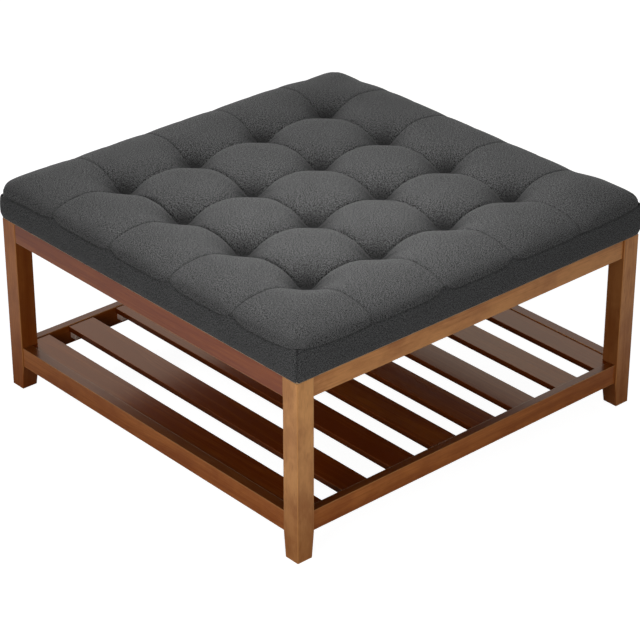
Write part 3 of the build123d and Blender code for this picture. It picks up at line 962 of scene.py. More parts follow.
@dataclass(frozen=True)
class TuftedTop:
    """The cover and wadding of the cushion top, drawn down at the tufts and sewn to the band all round."""

    crown: float = 0.476
    floor: float = 0.4316
    valley_depth: float = 0.012
    dome_power: float = 0.40
    pit_depth: float = 0.022
    pit_round: float = 2.2
    pit_power: float = 4.5
    dip_depth: float = 0.014
    dip_width: float = 0.045
    calm: float = 0.86
    calm_reach: float = 0.105
    calm_power: float = 0.8
    border_rise: float = 0.0015
    border_fall: float = 0.0210
    corner_fill: tuple[float, float, float, float] = (0.001, 0.002, -0.006, 0.008)
    pleat_fall: float = 0.004
    pleat_cut: float = 0.0012
    pleat_width: float = 0.0026
    drift: Point = (-0.0028, -0.0052, -0.0030)
    fold_depth: float = 0.0013
    fold_reach: float = 0.030
    fold_counts: tuple[float, float] = (7.0, 11.0)
    fold_shares: tuple[float, float] = (1.0, 0.7)
    fold_fade: float = 1.6
    fold_seed: int = 7
    shoulder: float = 0.026
    shoulder_power: float = 4.4
    corner_radius: float = 0.012
    corner_start: float = 2.2
    seam_drop: float = 0.0006
    seam_reach: float = 2.2
    mitre: float = 4.0
    cells: int = 26
    crowding: float = 0.6
    border_steps: int = 20
    border_crowding: float = 1.3
    shoulder_steps: int = 10
    under_step: int = 3
    under_inset: float = 0.012
    tucks: tuple[tuple[float, float], ...] = ((0.0012, -0.0008), (0.0030, -0.0006), (0.0034, -0.0025))
    foot_levels: tuple[float, ...] = (0.002, 0.001, 0.0)
    foot_inset: float = 0.001
    button_radius: float = 0.0105
    button_top: float = 0.4362
    button_slope: float = 0.004
    tuft_level: float = 0.4380
    tuft_ease: float = 0.0025
    wave: SeamWave = SeamWave()
    stuffing: Stuffing = Stuffing()
    folds: PaintedFoldShade = PaintedFoldShade()

    def stations(self) -> tuple[np.ndarray, np.ndarray]:
        """Places of the grid lines along one side.

        Between two tuft lines they follow a part of a sine, closer together by the lines. In the border they
        follow a power of an even run, and in the shoulder 1 - cos of an even angle, closer together by the
        seam.

        Returns:
            The places, from seam to seam, and the numbers of the tuft lines among them.
        """
        even = np.linspace(-1.0, 1.0, self.cells + 1)
        cell = (1.0 - self.crowding) * even + self.crowding * np.sin(0.5 * math.pi * even)
        inner = np.concatenate([[-0.5 * TUFT_PITCH], 0.5 * TUFT_PITCH * cell[1:]])
        middle = np.concatenate([inner[:-1] - TUFT_PITCH, inner[:-1], inner + TUFT_PITCH])
        run = np.linspace(0.0, 1.0, self.border_steps + 1) ** self.border_crowding
        border = TUFT_LINES[-1] + (CUSHION_HALF - self.shoulder - TUFT_LINES[-1]) * run[1:]
        angle = np.linspace(0.5 * math.pi, 0.0, self.shoulder_steps + 1)[1:]
        edge = CUSHION_HALF - self.shoulder * (1.0 - np.cos(angle))
        right = np.concatenate([border, edge])
        places = np.concatenate([-right[::-1], middle, right])
        return places, len(right) + self.cells * np.arange(len(TUFT_LINES))

    def local(self, place: np.ndarray) -> tuple[np.ndarray, np.ndarray]:
        """How far a place is from its puff's middle.

        Args:
            place: a coordinate across or along the cushion.

        Returns:
            The way towards a tuft line, 1 on the line, and the way out towards the seam, 1 on the seam.
        """
        near = np.abs(place)
        border = near > TUFT_LINES[-1] + 1e-9
        puff = np.round(np.clip(near / TUFT_PITCH, 0.0, 2.0)) * TUFT_PITCH
        share = (near - puff) / (0.5 * TUFT_PITCH)
        toward = np.where(border, np.maximum(-share, 0.0), np.abs(share))
        return np.clip(toward, 0.0, 1.0), np.where(border, np.clip(share, 0.0, 1.0), 0.0)

    def height(self, x: np.ndarray, y: np.ndarray) -> np.ndarray:
        """Level of the cover over a place, before the shoulder.

        With s and t from 0 at a puff's middle to 1 on its tuft lines, it is the valley level plus the puff's
        rise times ((1 - s^2)(1 - t^2)) to a power, less the pit's depth times ((s^k + t^k) / 2) to the power
        g / k, which gives each puff a round outline, less a hollow e^-(d/w)^2 at distance d from each tuft.
        From the outer tufts to the seam the valleys calm down to shallow folds. The border puffs stand a
        little higher, and their outer half falls with the cube of the way to the seam. The four corners
        are filled unevenly, in the order of left, near, back and right. A soft maximum,
        w log(1 + e^(h / w)), keeps each tuft over its button.

        Args:
            x: places across the cushion.
            y: places along it.

        Returns:
            The levels.
        """
        (s, reach_x), (t, reach_y) = self.local(x), self.local(y)
        out_x, out_y = [ease((np.abs(v) - TUFT_LINES[-1]) / self.calm_reach) for v in (x, y)]
        reach = (reach_x**6 + reach_y**6) ** (1 / 6)
        dome = 1.0
        for toward, out in ((s, out_y), (t, out_x)):
            power = self.dome_power + (self.calm_power - self.dome_power) * out
            dome = dome * (1.0 - (1.0 - self.calm * out) * (1.0 - (1.0 - toward * toward).clip(0.0) ** power))
        near = (1.0 - self.calm * out_y) * s**self.pit_round + (1.0 - self.calm * out_x) * t**self.pit_round
        round_off = (near / 2.0) ** (self.pit_power / self.pit_round)
        edge = np.maximum(out_x, out_y)
        corner = (x > 0.0).astype(int) + 2 * (y > 0.0)
        inside = [ease((np.abs(v) - TUFT_LINES[-1]) / (0.5 * TUFT_PITCH)) for v in (x, y)]
        full = np.array(self.corner_fill)[corner] * inside[0] * inside[1]
        rise = self.valley_depth + edge * self.border_rise - (self.border_fall - self.pleat_fall) * reach**3
        level = (
            self.crown - self.valley_depth - self.pleat_fall * reach + rise * dome + full
            - self.pit_depth * round_off
            - self.dip_depth * self.hollow(x, y)
            - self.pleat_cut * self.pleats(x, y)
        )
        above = (level - self.tuft_level) / self.tuft_ease
        return self.tuft_level + self.tuft_ease * np.logaddexp(0.0, above)

    def pleats(self, x: np.ndarray, y: np.ndarray) -> np.ndarray:
        """1 on every tuft line, falling off as e^-(d/w)^2 to its sides."""
        return np.max([bell(v - line, self.pleat_width) for line in TUFT_LINES for v in (x, y)], axis=0)

    def hollow(self, x: np.ndarray, y: np.ndarray) -> np.ndarray:
        """The hollow about each tuft with its small folds.

        It is the sum over the tufts of e^-(d/w)^2, and of a fold pattern that turns with the angle a about
        the tuft as cos(n a + phase), strongest a little way out from it.

        Args:
            x: places across the cushion.
            y: places along it.

        Returns:
            The depth, as a share of the dip's own depth.
        """
        rng = np.random.default_rng(self.fold_seed)
        total = np.zeros_like(x)
        depth = self.fold_depth / self.dip_depth
        for distance, angle in tufts(x, y):
            total += bell(distance, self.dip_width)
            waves = [np.cos(count * angle + rng.uniform(0.0, 6.28)) for count in self.fold_counts]
            folds = sum(share * wave for share, wave in zip(self.fold_shares, waves))
            ratio = distance / self.fold_reach
            total += depth * folds * ratio**2 * np.exp(-(ratio**2) * self.fold_fade)
        return total

    def shade(self, points: np.ndarray) -> np.ndarray:
        """Painted shade at each point of the cover: e^-(d/w)^p at distance d from a tuft, darkening the pits,
        a thin line along the border's pleats, and the seam's own line.

        Args:
            points: the cover's points, before the drift.

        Returns:
            The painted shade, from 0 to 1.
        """
        x, y = points[:, 0], points[:, 1]
        look = self.folds
        total = np.max([np.exp(-((d / look.tuft_reach) ** look.tuft_power)) for d, _ in tufts(x, y)], axis=0)
        border = ease((np.maximum(np.abs(x), np.abs(y)) - TUFT_LINES[-1]) / look.pleat_reach)
        (lift_x, _), (lift_y, _), _ = self.wave.around(x, y)
        lift = np.where(np.abs(x) > np.abs(y), lift_x, lift_y)
        seam = bell(points[:, 2] - SEAM_LEVEL - lift, look.seam_width)
        return np.maximum(np.maximum(total, look.pleat * border * self.pleats(x, y)), look.seam * seam)

    def drifted(self, points: np.ndarray) -> np.ndarray:
        """Moves the hand-set tufts off their even grid: a steady shift, and a lean along X that grows with Y,
        both fading to nothing at the seam.

        Args:
            points: the cover's points.

        Returns:
            The moved points.
        """
        inner = TUFT_LINES[-1]
        keep = [1.0 - ease((np.abs(points[..., k]) - inner) / (CUSHION_HALF - inner)) for k in (0, 1)]
        keep = keep[0] * keep[1]
        lean = np.clip(points[..., 1] / inner, -1.0, 1.0)
        moved = points.copy()
        moved[..., 0] += keep * (self.drift[0] + self.drift[1] * lean)
        moved[..., 1] += keep * self.drift[2]
        return moved

    def rounded(self, x: np.ndarray, y: np.ndarray) -> tuple[np.ndarray, np.ndarray]:
        """Draws the square's corners in to their radius: a corner's small square maps onto a quarter disc.

        Args:
            x: places across the cushion.
            y: places along it.

        Returns:
            The places after it.
        """
        inner = CUSHION_HALF - self.corner_start * self.corner_radius
        out_x, out_y = np.maximum(np.abs(x) - inner, 0.0), np.maximum(np.abs(y) - inner, 0.0)
        both = np.minimum(out_x, out_y) > 0.0
        scale = np.where(both, np.maximum(out_x, out_y) / np.maximum(np.hypot(out_x, out_y), 1e-9), 1.0)
        return (
            np.where(both, np.sign(x) * (inner + out_x * scale), x),
            np.where(both, np.sign(y) * (inner + out_y * scale), y),
        )

    def surface(self, places: np.ndarray) -> np.ndarray:
        """The cover's upper surface.

        The level falls to the seam by S(u) = (1 - (1 - u)^p)^(1/p) over the shoulder's share u, steep at the
        seam and round at the top. Two sides meet in a corner as (S^-4 + T^-4 - 1)^(-1/4), close to the
        smaller. The seam itself rises where a pleat meets it.

        Args:
            places: the grid lines' places.

        Returns:
            A grid of points.
        """
        x, y = np.meshgrid(places, places, indexing="ij")
        shares = [(CUSHION_HALF - np.abs(v)) / self.shoulder for v in (x, y)]
        power = self.shoulder_power
        fall = [(1.0 - (1.0 - share.clip(0.0, 1.0)) ** power) ** (1.0 / power) for share in shares]
        steep = [np.maximum(share, 1e-6) ** -self.mitre for share in fall]
        shoulder = (steep[0] + steep[1] - 1.0) ** (-1.0 / self.mitre)
        loose = [1.0 - ease(share / self.seam_reach) for share in shares]
        (lift_x, draw_x), (lift_y, draw_y), corner = self.wave.around(x, y)
        seam = SEAM_LEVEL - self.seam_drop + lift_x * loose[0] + lift_y * loose[1]
        seam = seam - corner * loose[0] * loose[1]
        level = seam + (self.height(x, y) - seam) * shoulder
        x, y = x - np.sign(x) * draw_x * loose[0], y - np.sign(y) * draw_y * loose[1]
        round_x, round_y = self.rounded(x, y)
        return np.stack([round_x, round_y, level], axis=-1)

    def doubled(self, grid: np.ndarray, lines: np.ndarray) -> np.ndarray:
        """Doubles a grid along its first axis: each new row is 9/16 of its two neighbours less 1/16 of the
        next two, and none looks across a tuft line, so the pleats stay sharp.

        Args:
            grid: the points.
            lines: numbers of the tuft lines.

        Returns:
            The finer grid.
        """
        count = len(grid)
        stops = np.zeros(count, bool)
        stops[[0, -1]] = stops[lines] = True
        first, second = np.arange(count - 1), np.arange(1, count)
        before = np.where(stops[first], first, first - 1)
        after = np.where(stops[second], second, second + 1)
        middle = (9.0 * (grid[first] + grid[second]) - grid[before] - grid[after.clip(0, count - 1)]) / 16.0
        out = np.empty((2 * count - 1,) + grid.shape[1:])
        out[0::2], out[1::2] = grid, middle
        return out

    def tucked(self, edge: np.ndarray) -> list[np.ndarray]:
        """The rings of points that turn the cover in at the seam and go down to the foam.

        Args:
            edge: the ring of points on the seam.

        Returns:
            The rings from the seam down.
        """
        rings = []
        for inset, level in self.tucks:
            ring = edge * np.array([1.0 - inset / CUSHION_HALF, 1.0 - inset / CUSHION_HALF, 1.0])
            ring[:, 2] += level
            rings.append(ring)
        for above in self.foot_levels:
            ring = rings[-1].copy()
            ring[:, 2] = self.floor + above
            rings.append(ring)
        rings[-1][:, :2] *= 1.0 - self.foot_inset / CUSHION_HALF
        return rings

    def underside(self, places: np.ndarray) -> np.ndarray:
        """The flat underside on the foam, raised over each button by the ease of its distance.

        Args:
            places: the grid lines' places.

        Returns:
            A grid of points.
        """
        inset = CUSHION_HALF - self.under_inset
        x, y = np.meshgrid(*[np.clip(places, -inset, inset)] * 2, indexing="ij")
        lifts = [1.0 - ease((d - self.button_radius) / self.button_slope) for d, _ in tufts(x, y)]
        level = self.floor + (self.button_top - self.floor) * np.max(lifts, axis=0)
        return np.stack([x, y, level], axis=-1)

    def cloth_map(self, points: np.ndarray) -> np.ndarray:
        """The cut cloth's own place of each point: its plan, let out by the drop at the shoulder.

        Args:
            points: the cover's points, before the drift.

        Returns:
            Rows of u and v.
        """
        drop = self.crown - points[:, 2]
        out = np.abs(points[:, :2]) - (CUSHION_HALF - self.shoulder)
        let_out = np.where(out > 0.0, drop[:, None] * ease(out / self.shoulder), 0.0)
        return points[:, :2] + np.sign(points[:, :2]) * let_out

    def build(self) -> Piece:
        """Builds the closed cushion top: its upper surface, the rings turned in below the seam, and a coarser
        underside that each ring point's quad fans in to.

        Returns:
            The piece, before its finish.
        """
        places, lines = self.stations()
        grid = self.surface(places)
        grid = self.stuffing.swollen(grid, lines)
        grid = self.doubled(grid, lines)
        grid = self.doubled(grid.transpose(1, 0, 2), lines).transpose(1, 0, 2)
        size = len(grid)
        top = grid.reshape(-1, 3)
        ring = border_numbers(size)
        rings = self.tucked(top[ring])
        faces = [grid_faces(size, size)]
        start = len(top)
        for _ in rings:
            below = start + np.arange(len(ring))
            faces.append(ring_faces(ring, below))
            ring = below
            start += len(ring)
        under = self.underside(places[:: self.under_step])
        inner = border_numbers(len(under), start)
        ratio = len(ring) // len(inner)
        outer = ring.reshape(len(inner), ratio)
        fan = [outer, np.roll(outer, -1, axis=0)[:, :1], np.roll(inner, -1)[:, None], inner[:, None]]
        faces.append(grid_faces(len(under), len(under), start)[:, ::-1])
        faces.append(np.concatenate(fan, axis=-1)[:, ::-1])
        points = np.concatenate([top, *rings, under.reshape(-1, 3)])
        drifted = np.concatenate([self.drifted(points[:start]), points[start:]])
        return mesh_piece("cushion_cover", drifted, faces, self.cloth_map(points), self.shade(points))


@dataclass(frozen=True)
class SideBand:
    """One panel of the cushion's side band: a strip of cloth on thin wadding, sewn to the cover above and to
    its neighbours at the corners, and turned in under the base board."""

    bottom: float = 0.382
    bulge: float = 0.0018
    thickness: float = 0.003
    flange: float = 0.0012
    flange_width: float = 0.030
    corner_radius: float = 0.010
    stations: int = 236
    crowding: float = 0.015
    groove: float = 0.0013
    groove_width: float = 0.0022
    # Painted shade in the band's shade attribute: the corner grooves, the top seam, and a painted shadow
    # along the bottom under the hem
    groove_shade: float = 0.45
    seam_shade: float = 0.5
    seam_width: float = 0.009
    foot_shade: float = 1.0
    foot_width: float = 0.045
    hem: float = 0.0034
    hem_reach: float = 0.28
    draw_start: float = 0.2
    lift_start: float = 0.15
    ripple: float = 0.00018
    ripple_rates: tuple[float, ...] = (21.0, 37.0, 59.0, 83.0, 127.0, 171.0)
    cut_gap: float = 1.3
    wave: SeamWave = SeamWave()

    def profile(self) -> np.ndarray:
        """The panel's section as a closed loop.

        Returns:
            Rows of how far out, how high from 0 at the bottom to 1 at the seam, and how much of the bulge it
            takes.
        """
        face = np.linspace(0.0, 1.0, 17)[1:-1]
        rise = 0.03 + 0.955 * face
        outer = np.stack([np.zeros_like(face), rise, np.sin(math.pi * face) ** 0.7], axis=-1)
        height = SEAM_LEVEL - self.bottom
        inside, lining = -self.thickness, self.flange / height
        return np.concatenate([
            [[-self.flange_width, 0.0, 0.0], [-0.016, 0.0, 0.0], [-0.0016, 0.0, 0.0], [-0.0004, 0.008, 0.0]],
            outer,
            [[-0.0004, 0.991, 0.0], [-0.0013, 0.9985, 0.0], [inside, 0.996, 0.0], [inside, 0.5, 0.0]],
            [[inside, 0.0025 / height, 0.0], [inside - 0.0014, lining, 0.0]],
            [[-0.016, lining, 0.0], [-self.flange_width, lining, 0.0]],
        ])

    def along(self, out: np.ndarray, share: np.ndarray) -> tuple[np.ndarray, np.ndarray, np.ndarray]:
        """A point on the front panel's plan path.

        The path is the straight front, then half of each corner's quarter round. Further in than the round's
        own radius it is a straight line cut on the corner's diagonal.

        Args:
            out: how far outside the band's face the path runs.
            share: from -1 at the left corner to 1 at the right.

        Returns:
            Its x, its y, and its distance along the cut strip.
        """
        radius = np.maximum(self.corner_radius + out, 0.0)
        straight = CUSHION_HALF + out - radius
        length = straight + radius * math.pi / 4
        run = np.abs(share) * length
        past = (run - straight) / np.maximum(radius, 1e-9)
        angle = np.where(radius > 0.0, past, 0.0).clip(0.0, math.pi / 4)
        x = np.minimum(run, straight) + radius * np.sin(angle)
        y = -(straight + radius * np.cos(angle))
        return np.sign(share) * x, y, np.sign(share) * run

    def build(self, side: Side) -> Piece:
        """Builds one panel: the section carried along the front's path, then turned to its side. Its face
        ripples a little, as a sum of sines, and its ends draw in to the corner seams.

        Args:
            side: which side of the cushion it covers.

        Returns:
            The piece, before its finish.
        """
        profile = self.profile()
        even = np.linspace(-1.0, 1.0, self.stations + 1)
        share = (1.0 - self.crowding) * even + self.crowding * np.sin(0.5 * math.pi * even) ** 7
        phases = np.random.default_rng(40 + side.value).uniform(0.0, 2.0 * math.pi, len(self.ripple_rates))
        run = share[:, None] * CUSHION_HALF
        end = bell((1.0 - np.abs(share[:, None])) * CUSHION_HALF, self.groove_width)
        ripple = sum(np.sin(run * rate + phase) for rate, phase in zip(self.ripple_rates, phases))
        lift, draw = self.wave.at(run, side.value)
        offset, height, weight = (profile[:, k][None] for k in range(3))
        hem = self.hem * (1.0 - ease(height / self.hem_reach)) * (offset > -0.01)
        out = offset + weight * (self.bulge + self.ripple * ripple)
        out = out - self.groove * end * (height > 0.02) - hem
        out = out - draw * ease((height - self.draw_start) / (1.0 - self.draw_start))
        x, y, length = self.along(out, np.broadcast_to(share[:, None], out.shape))
        lifted = lift * ease((height - self.lift_start) / (1.0 - self.lift_start))
        z = self.bottom + height * (SEAM_LEVEL - self.bottom) + lifted
        turn = 0.5 * math.pi * side.value
        cos, sin = math.cos(turn), math.sin(turn)
        points = np.stack([x, y, z], axis=-1) @ np.array([[cos, sin, 0.0], [-sin, cos, 0.0], [0.0, 0.0, 1.0]])
        rows, columns = points.shape[:2]
        first = np.arange(columns)[None]
        faces = [grid_faces(rows, columns, closed=True), first[:, ::-1], first + (rows - 1) * columns]
        turned_under = np.minimum(offset, 0.0) * (height < 0.05)
        cloth = np.stack([length + self.cut_gap * side.value, z + turned_under], axis=-1).reshape(-1, 2)
        # Painted shade: darker in the corner grooves and along the top seam, with a painted shadow along the
        # bottom
        shade = self.groove_shade * end + self.seam_shade * bell(height - 1.0, self.seam_width)
        shade = np.clip(shade + self.foot_shade * bell(height, self.foot_width), 0.0, 1.0)
        return mesh_piece(f"band_{side.name.lower()}", points.reshape(-1, 3), faces, cloth, shade)


@dataclass(frozen=True)
class DustCover:
    """The thin cloth stapled under the base board. It hangs a little between its staples and in the
    middle."""

    half: float = 0.423
    top: float = 0.3831
    thickness: float = 0.0007
    sag: float = 0.0022
    sag_reach: float = 0.3
    gather: float = 0.0006
    gather_width: float = 0.012
    staple_pitch: float = 0.047
    edge_reach: float = 0.004
    cells: int = 120

    def build(self) -> Piece:
        """Builds the sheet: both faces are one grid, sagging by the ease of the distance from the edge, with
        small gathers between the staples.

        Returns:
            The piece, before its finish.
        """
        side = np.linspace(-self.half, self.half, self.cells + 1)
        x, y = np.meshgrid(side, side, indexing="ij")
        edge = self.half - np.maximum(np.abs(x), np.abs(y))
        along = np.where(np.abs(x) > np.abs(y), y, x)
        gather = 0.5 - 0.5 * np.cos(2.0 * math.pi * along / self.staple_pitch)
        sag = self.sag * ease(edge / self.sag_reach)
        sag = sag + self.gather * gather * bell(edge - self.gather_width, self.gather_width)
        upper = np.stack([x, y, self.top - sag * ease(edge / self.edge_reach)], axis=-1)
        lower = upper - np.array([0.0, 0.0, self.thickness])
        return slab_piece("dust_cloth_cover", upper, lower, mapped=True)


@dataclass(frozen=True)
class FoamCore:
    """The foam between the base board and the cover, pinched a little at each tie."""

    half: float = 0.4505
    bottom: float = 0.3954
    top: float = 0.4310
    radius: float = 0.007
    pinch: float = 0.0012
    pinch_width: float = 0.02
    pull: float = 0.0016
    crowding: float = 1.25
    cells: int = 90

    def build(self) -> Piece:
        """Builds the slab: an upper and a lower grid, each drawn in at its rim by a quarter round, with sides
        that pull in by a hair between the corners.

        Returns:
            The piece, before its finish.
        """
        side = np.linspace(-1.0, 1.0, self.cells + 1)
        side = np.sign(side) * (1.0 - (1.0 - np.abs(side)) ** self.crowding)
        u, v = np.meshgrid(side, side, indexing="ij")
        x = self.half * u * (1.0 - self.pull * (1.0 - v * v) * np.abs(u) ** 6)
        y = self.half * v * (1.0 - self.pull * (1.0 - u * u) * np.abs(v) ** 6)
        edge = self.half * (1.0 - np.maximum(np.abs(u), np.abs(v)))
        inward = np.clip(self.radius - edge, 0.0, self.radius)
        curve = self.radius - np.sqrt(np.clip(self.radius**2 - inward**2, 0.0, None))
        dent = sum(self.pinch * bell(distance, self.pinch_width) for distance, _ in tufts(x, y))
        upper = np.stack([x, y, self.top - curve - dent], axis=-1)
        return slab_piece("foam_core", upper, np.stack([x, y, self.bottom + curve], axis=-1))


@dataclass(frozen=True)
class Cushion:
    """The whole cushion: board, foam, tufted cover, side band, dust cover, and what ties them."""

    top: TuftedTop = TuftedTop()
    band: SideBand = SideBand()
    dust: DustCover = DustCover()
    foam: FoamCore = FoamCore()

    def build(self, frame: dict, effects: Effects) -> list[Piece]:
        """Builds and dresses the cushion.

        Args:
            frame: the loaded frame.
            effects: the shared node groups.

        Returns:
            Its new pieces.
        """
        # The band takes the darker copy of the linen: painted shade
        linen, shaded = Linen().make(effects), SHADED_BAND_LINEN.make(effects)
        cover = self.top.build()
        self.finish(cover, linen, "charcoal_linen", "tufted_cover")
        pieces = [cover]
        for side in Side:
            panel = self.band.build(side)
            self.finish(panel, shaded, "charcoal_linen", f"side_band_{side.name.lower()}")
            pieces.append(panel)
        foam = self.foam.build()
        self.finish(foam, CREAM_FOAM.make(), "foam", "foam_slab")
        dust = self.dust.build()
        self.finish(dust, SPUN_CLOTH.make(), "dust_cloth", "dust_cover")
        nodes = frame["nodes"]
        paint(nodes["base_board"], Plywood().make(effects))
        plastic = BLACK_PLASTIC.make()
        for name in ("tuft_buttons", "tuft_anchors"):
            paint(nodes[name], plastic)
        paint(nodes["tuft_ties"], WAXED_TWINE.make())
        return pieces + [foam, dust]

    @staticmethod
    def finish(piece: Piece, material: Material, slot: str, node: str) -> None:
        """Dresses a new piece, fixes it to the table and puts it in its CAD solid's place.

        Args:
            piece: the piece.
            material: its finish.
            slot: the record's material slot; not used.
            node: the CAD node that it stands for.
        """
        paint(piece, material)
        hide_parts(node)
        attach(piece, BODY)


@dataclass(frozen=True)
class WoodFrame:
    """Legs, aprons and lower rails, with the hidden blocks, dowels and fasteners that hold them. Boards that
    took the stain, or the varnish, otherwise than the rest have their own tone and sheen."""

    stain: StainedWood
    tones: dict[str, float] = field(default_factory=lambda: {
        "leg_front_right": -1.2, "leg_front_left": -0.25, "leg_back_right": -0.8,
        "apron_front": 0.8, "apron_right": -0.85, "lower_rail_front": -0.25, "lower_rail_right": -0.2,
    })
    varnishes: dict[str, Colour] = field(default_factory=lambda: {"apron_front": (1.0, 0.88, 0.86, 1.0)})

    def boards(self) -> list[tuple[str, GrainAxis]]:
        """The wooden nodes that show, in order.

        Returns:
            Pairs of a node's name and the axis of its grain.
        """
        along = {
            "front": GrainAxis.ALONG_X, "back": GrainAxis.ALONG_X,
            "left": GrainAxis.ALONG_Y, "right": GrainAxis.ALONG_Y,
        }
        legs = [f"leg_{end}_{side}" for end in ("front", "back") for side in ("left", "right")]
        rails = [(f"{board}_{side}", along[side]) for board in ("apron", "lower_rail") for side in along]
        return [(name, GrainAxis.ALONG_Z) for name in legs] + rails

    def dress(self, frame: dict, effects: Effects) -> list[str]:
        """Gives every node of the frame its finish.

        Args:
            frame: the loaded frame.
            effects: the shared node groups.

        Returns:
            The names of the dressed nodes.
        """
        nodes = frame["nodes"]
        for seed, (name, axis) in enumerate(self.boards(), start=1):
            stain = replace(self.stain, varnish=self.varnishes.get(name, self.stain.varnish))
            stain.dress(name, nodes[name], axis, seed, effects, self.tones.get(name, 0.0))
        bare, zinc = BareWood().make(effects), Metal().make()
        hidden = [name for name in nodes if name.startswith("corner_block") or name.endswith("_dowels")]
        fasteners = ["corner_bolts", "corner_washers", "corner_nuts", "top_screws"]
        for names, material in ((hidden, bare), (fasteners, zinc)):
            for name in names:
                paint(nodes[name], material)
        return [name for name, _ in self.boards()] + hidden + fasteners


@dataclass(frozen=True)
class Shelf:
    """Eight slats across the lower rails, on small bare blocks. Each slat took the stain in its own tone."""

    stain: StainedWood
    slats: int = 8
    darkest: float = 1.5
    lightest: float = 0.8
    first_seed: int = 21

    def dress(self, frame: dict, effects: Effects) -> list[str]:
        """Gives every node of the shelf its finish.

        Args:
            frame: the loaded frame.
            effects: the shared node groups.

        Returns:
            The names of the dressed nodes.
        """
        nodes = frame["nodes"]
        tones = np.random.default_rng(7).uniform(self.lightest, self.darkest, self.slats)
        slats = [f"shelf_slat_{number}" for number in range(1, self.slats + 1)]
        for seed, (name, tone) in enumerate(zip(slats, tones), start=self.first_seed):
            self.stain.dress(name, nodes[name], GrainAxis.ALONG_X, seed, effects, float(tone))
        block = BLOCK_WOOD.make(effects)
        blocks = ["slat_support_blocks_left", "slat_support_blocks_right"]
        for name in blocks:
            paint(nodes[name], block)
        paint(nodes["slat_screws"], Metal(dull=(0.5, 0.5, 0.5, 1.0)).make())
        return slats + blocks + ["slat_screws"]


def stance(right: Vector, up: Vector, back: Vector, place: Point) -> Matrix:
    """The matrix of a lamp or camera.

    Args:
        right: where its X points.
        up: where its Y points.
        back: where its Z points, away from what it looks at.
        place: where it stands.

    Returns:
        The matrix.
    """
    matrix = Matrix((right, up, back)).transposed().to_4x4()
    matrix.translation = Vector(place)
    return matrix


@dataclass(frozen=True)
class Lamp:
    """A square soft lamp."""

    name: str
    place: Point
    aim: Point
    size: float
    power: float

    def light(self) -> None:
        """Adds the lamp, turned to its aim."""
        lamp = bpy.data.lights.new(self.name, "AREA")
        lamp.shape, lamp.size, lamp.energy = "SQUARE", self.size, self.power
        holder = bpy.data.objects.new(self.name, lamp)
        bpy.context.scene.collection.objects.link(holder)
        back = Vector(np.subtract(self.place, self.aim)).normalized()
        right = Vector((0.0, 0.0, 1.0)).cross(back).normalized()
        holder.matrix_world = stance(right, back.cross(right), back, self.place)


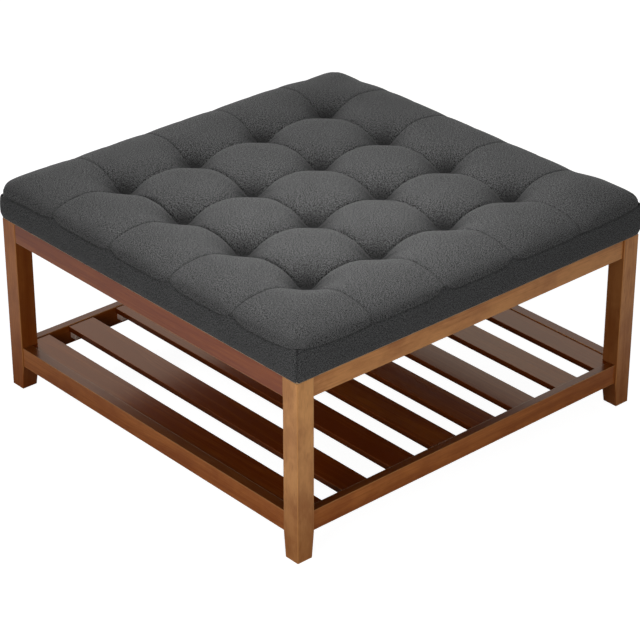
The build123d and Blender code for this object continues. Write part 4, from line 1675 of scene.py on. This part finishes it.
@dataclass(frozen=True)
class Studio:
    """A white studio: pale floor, soft lamps and the camera at the photograph's angle."""

    azimuth: float = 48.37
    elevation: float = 28.47
    camera_place: Point = (3.32842, -2.95403, 2.58154)
    lens: float = 139.78
    film_width: float = 36.0
    floor_half: float = 9.0
    floor_colour: Colour = (0.34, 0.34, 0.34, 1.0)
    floor_glow: float = 0.95
    floor_reflection: float = 0.5
    clear_of_table: tuple[float, float] = (0.42, 0.75)
    zenith: float = 0.05
    horizon: float = 0.54
    lamps: tuple[Lamp, ...] = (
        Lamp("top_lamp", (0.16, -0.11, 1.07), (0.15, -0.12, 0.4), 0.5, 4.5),
        Lamp("left_lamp", (-4.6, 0.66, 2.6), (0.0, 0.0, 0.3), 1.2, 60.0),
        Lamp("front_lamp", (0.75, -2.15, 0.70), (0.3, -0.3, 0.3), 0.9, 12.5),
        Lamp("right_lamp", (2.20, -0.80, 0.50), (0.3, -0.3, 0.3), 0.9, 7.5),
    )

    def camera(self) -> None:
        """Sets the scene's camera by the angles and place fitted to the photograph's straight edges."""
        az, el = math.radians(self.azimuth), math.radians(self.elevation)
        right = Vector((math.cos(az), math.sin(az), 0.0))
        up = Vector((-math.sin(az) * math.sin(el), math.cos(az) * math.sin(el), math.cos(el)))
        back = Vector((math.sin(az) * math.cos(el), -math.cos(az) * math.cos(el), math.sin(el)))
        lens = bpy.data.cameras.new("camera")
        lens.lens, lens.sensor_width, lens.sensor_fit = self.lens, self.film_width, "HORIZONTAL"
        lens.clip_end = 60.0
        holder = bpy.data.objects.new("camera", lens)
        holder.matrix_world = stance(right, up, back, self.camera_place)
        bpy.context.scene.collection.objects.link(holder)
        bpy.context.scene.camera = holder

    def floor(self) -> None:
        """Lays the pale floor. Towards the camera it adds a plain glow, so that it shows white and keeps a
        soft shadow. In reflections it adds a glow with painted shade: the glow is left out under the table."""
        corners = np.array([[-1.0, -1.0, 0.0], [1.0, -1.0, 0.0], [1.0, 1.0, 0.0], [-1.0, 1.0, 0.0]])
        floor = mesh_piece("floor", corners * self.floor_half, [np.array([[0, 1, 2, 3]])])
        material, graph = new_material("pale_floor")
        path = graph.add("ShaderNodeLightPath").outputs
        matte = graph.add("ShaderNodeBsdfDiffuse", {"Color": self.floor_colour})
        place = graph.parts(graph.vector("ABSOLUTE", graph.place(), (0.0, 0.0, 0.0)))
        # Painted shade: the glow seen in reflections fades out under the table
        clear = graph.spread(graph.math("MAXIMUM", place[0], place[1]), *self.clear_of_table)
        mirrored = graph.times(path["Is Glossy Ray"], clear)
        seen = graph.weighed((path["Is Camera Ray"], self.floor_glow), (mirrored, self.floor_reflection))
        glow = graph.add("ShaderNodeEmission", {"Color": WHITE, "Strength": seen})
        both = graph.add("ShaderNodeAddShader", {0: matte.outputs[0], 1: glow.outputs[0]})
        graph.add("ShaderNodeOutputMaterial", {"Surface": both.outputs[0]})
        paint(floor, material)

    def sky(self) -> None:
        """A white surround: plain white to the camera and in reflections, and as light brightest at the
        horizon, by the square of 1 less the sine of the elevation."""
        world = bpy.data.worlds.new("studio")
        world.use_nodes = True
        graph = Graph(world.node_tree)
        path = graph.add("ShaderNodeLightPath").outputs
        clear = graph.math("MAXIMUM", path["Is Glossy Ray"], path["Is Transmission Ray"])
        seen = graph.math("MAXIMUM", path["Is Camera Ray"], clear)
        up = graph.parts(graph.add("ShaderNodeTexCoord").outputs["Generated"])[2]
        low = graph.math("POWER", graph.math("SUBTRACT", 1.0, up, clamp=True), 2.0)
        light = graph.plus(self.zenith, graph.times(low, self.horizon - self.zenith))
        level = graph.math("MAXIMUM", seen, light)
        background = graph.add("ShaderNodeBackground", {"Color": WHITE, "Strength": level})
        graph.add("ShaderNodeOutputWorld", {"Surface": background.outputs[0]})
        bpy.context.scene.world = world

    def build(self) -> None:
        """Sets up the camera, floor, surround and lamps."""
        bpy.context.scene.view_settings.view_transform = "Standard"
        self.camera()
        self.floor()
        self.sky()
        for lamp in self.lamps:
            lamp.light()


def main() -> None:
    """Builds the table's looks in order and reports each piece."""
    logging.basicConfig(level=logging.INFO, format="%(message)s")
    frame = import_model()
    Studio().build()
    effects = Effects(WoodGrain(), ArrisMask(), LinenWeave())
    stain = StainedWood()
    glossier = replace(stain, gloss=0.62, roughness=0.17, varnish=(1.0, 0.60, 0.23, 1.0))
    # The slats' sides take the painted inner shade nearly in full
    shelf = Shelf(replace(glossier, worn=stain.dark, inner_shade_amount=0.92))
    for name in WoodFrame(stain).dress(frame, effects) + shelf.dress(frame, effects):
        log.info("dressed %s", name)
    for piece in Cushion().build(frame, effects):
        log.info("%s: %d points, %d faces", piece.name, len(piece.data.vertices), len(piece.data.polygons))


if __name__ == "__main__":
    main()
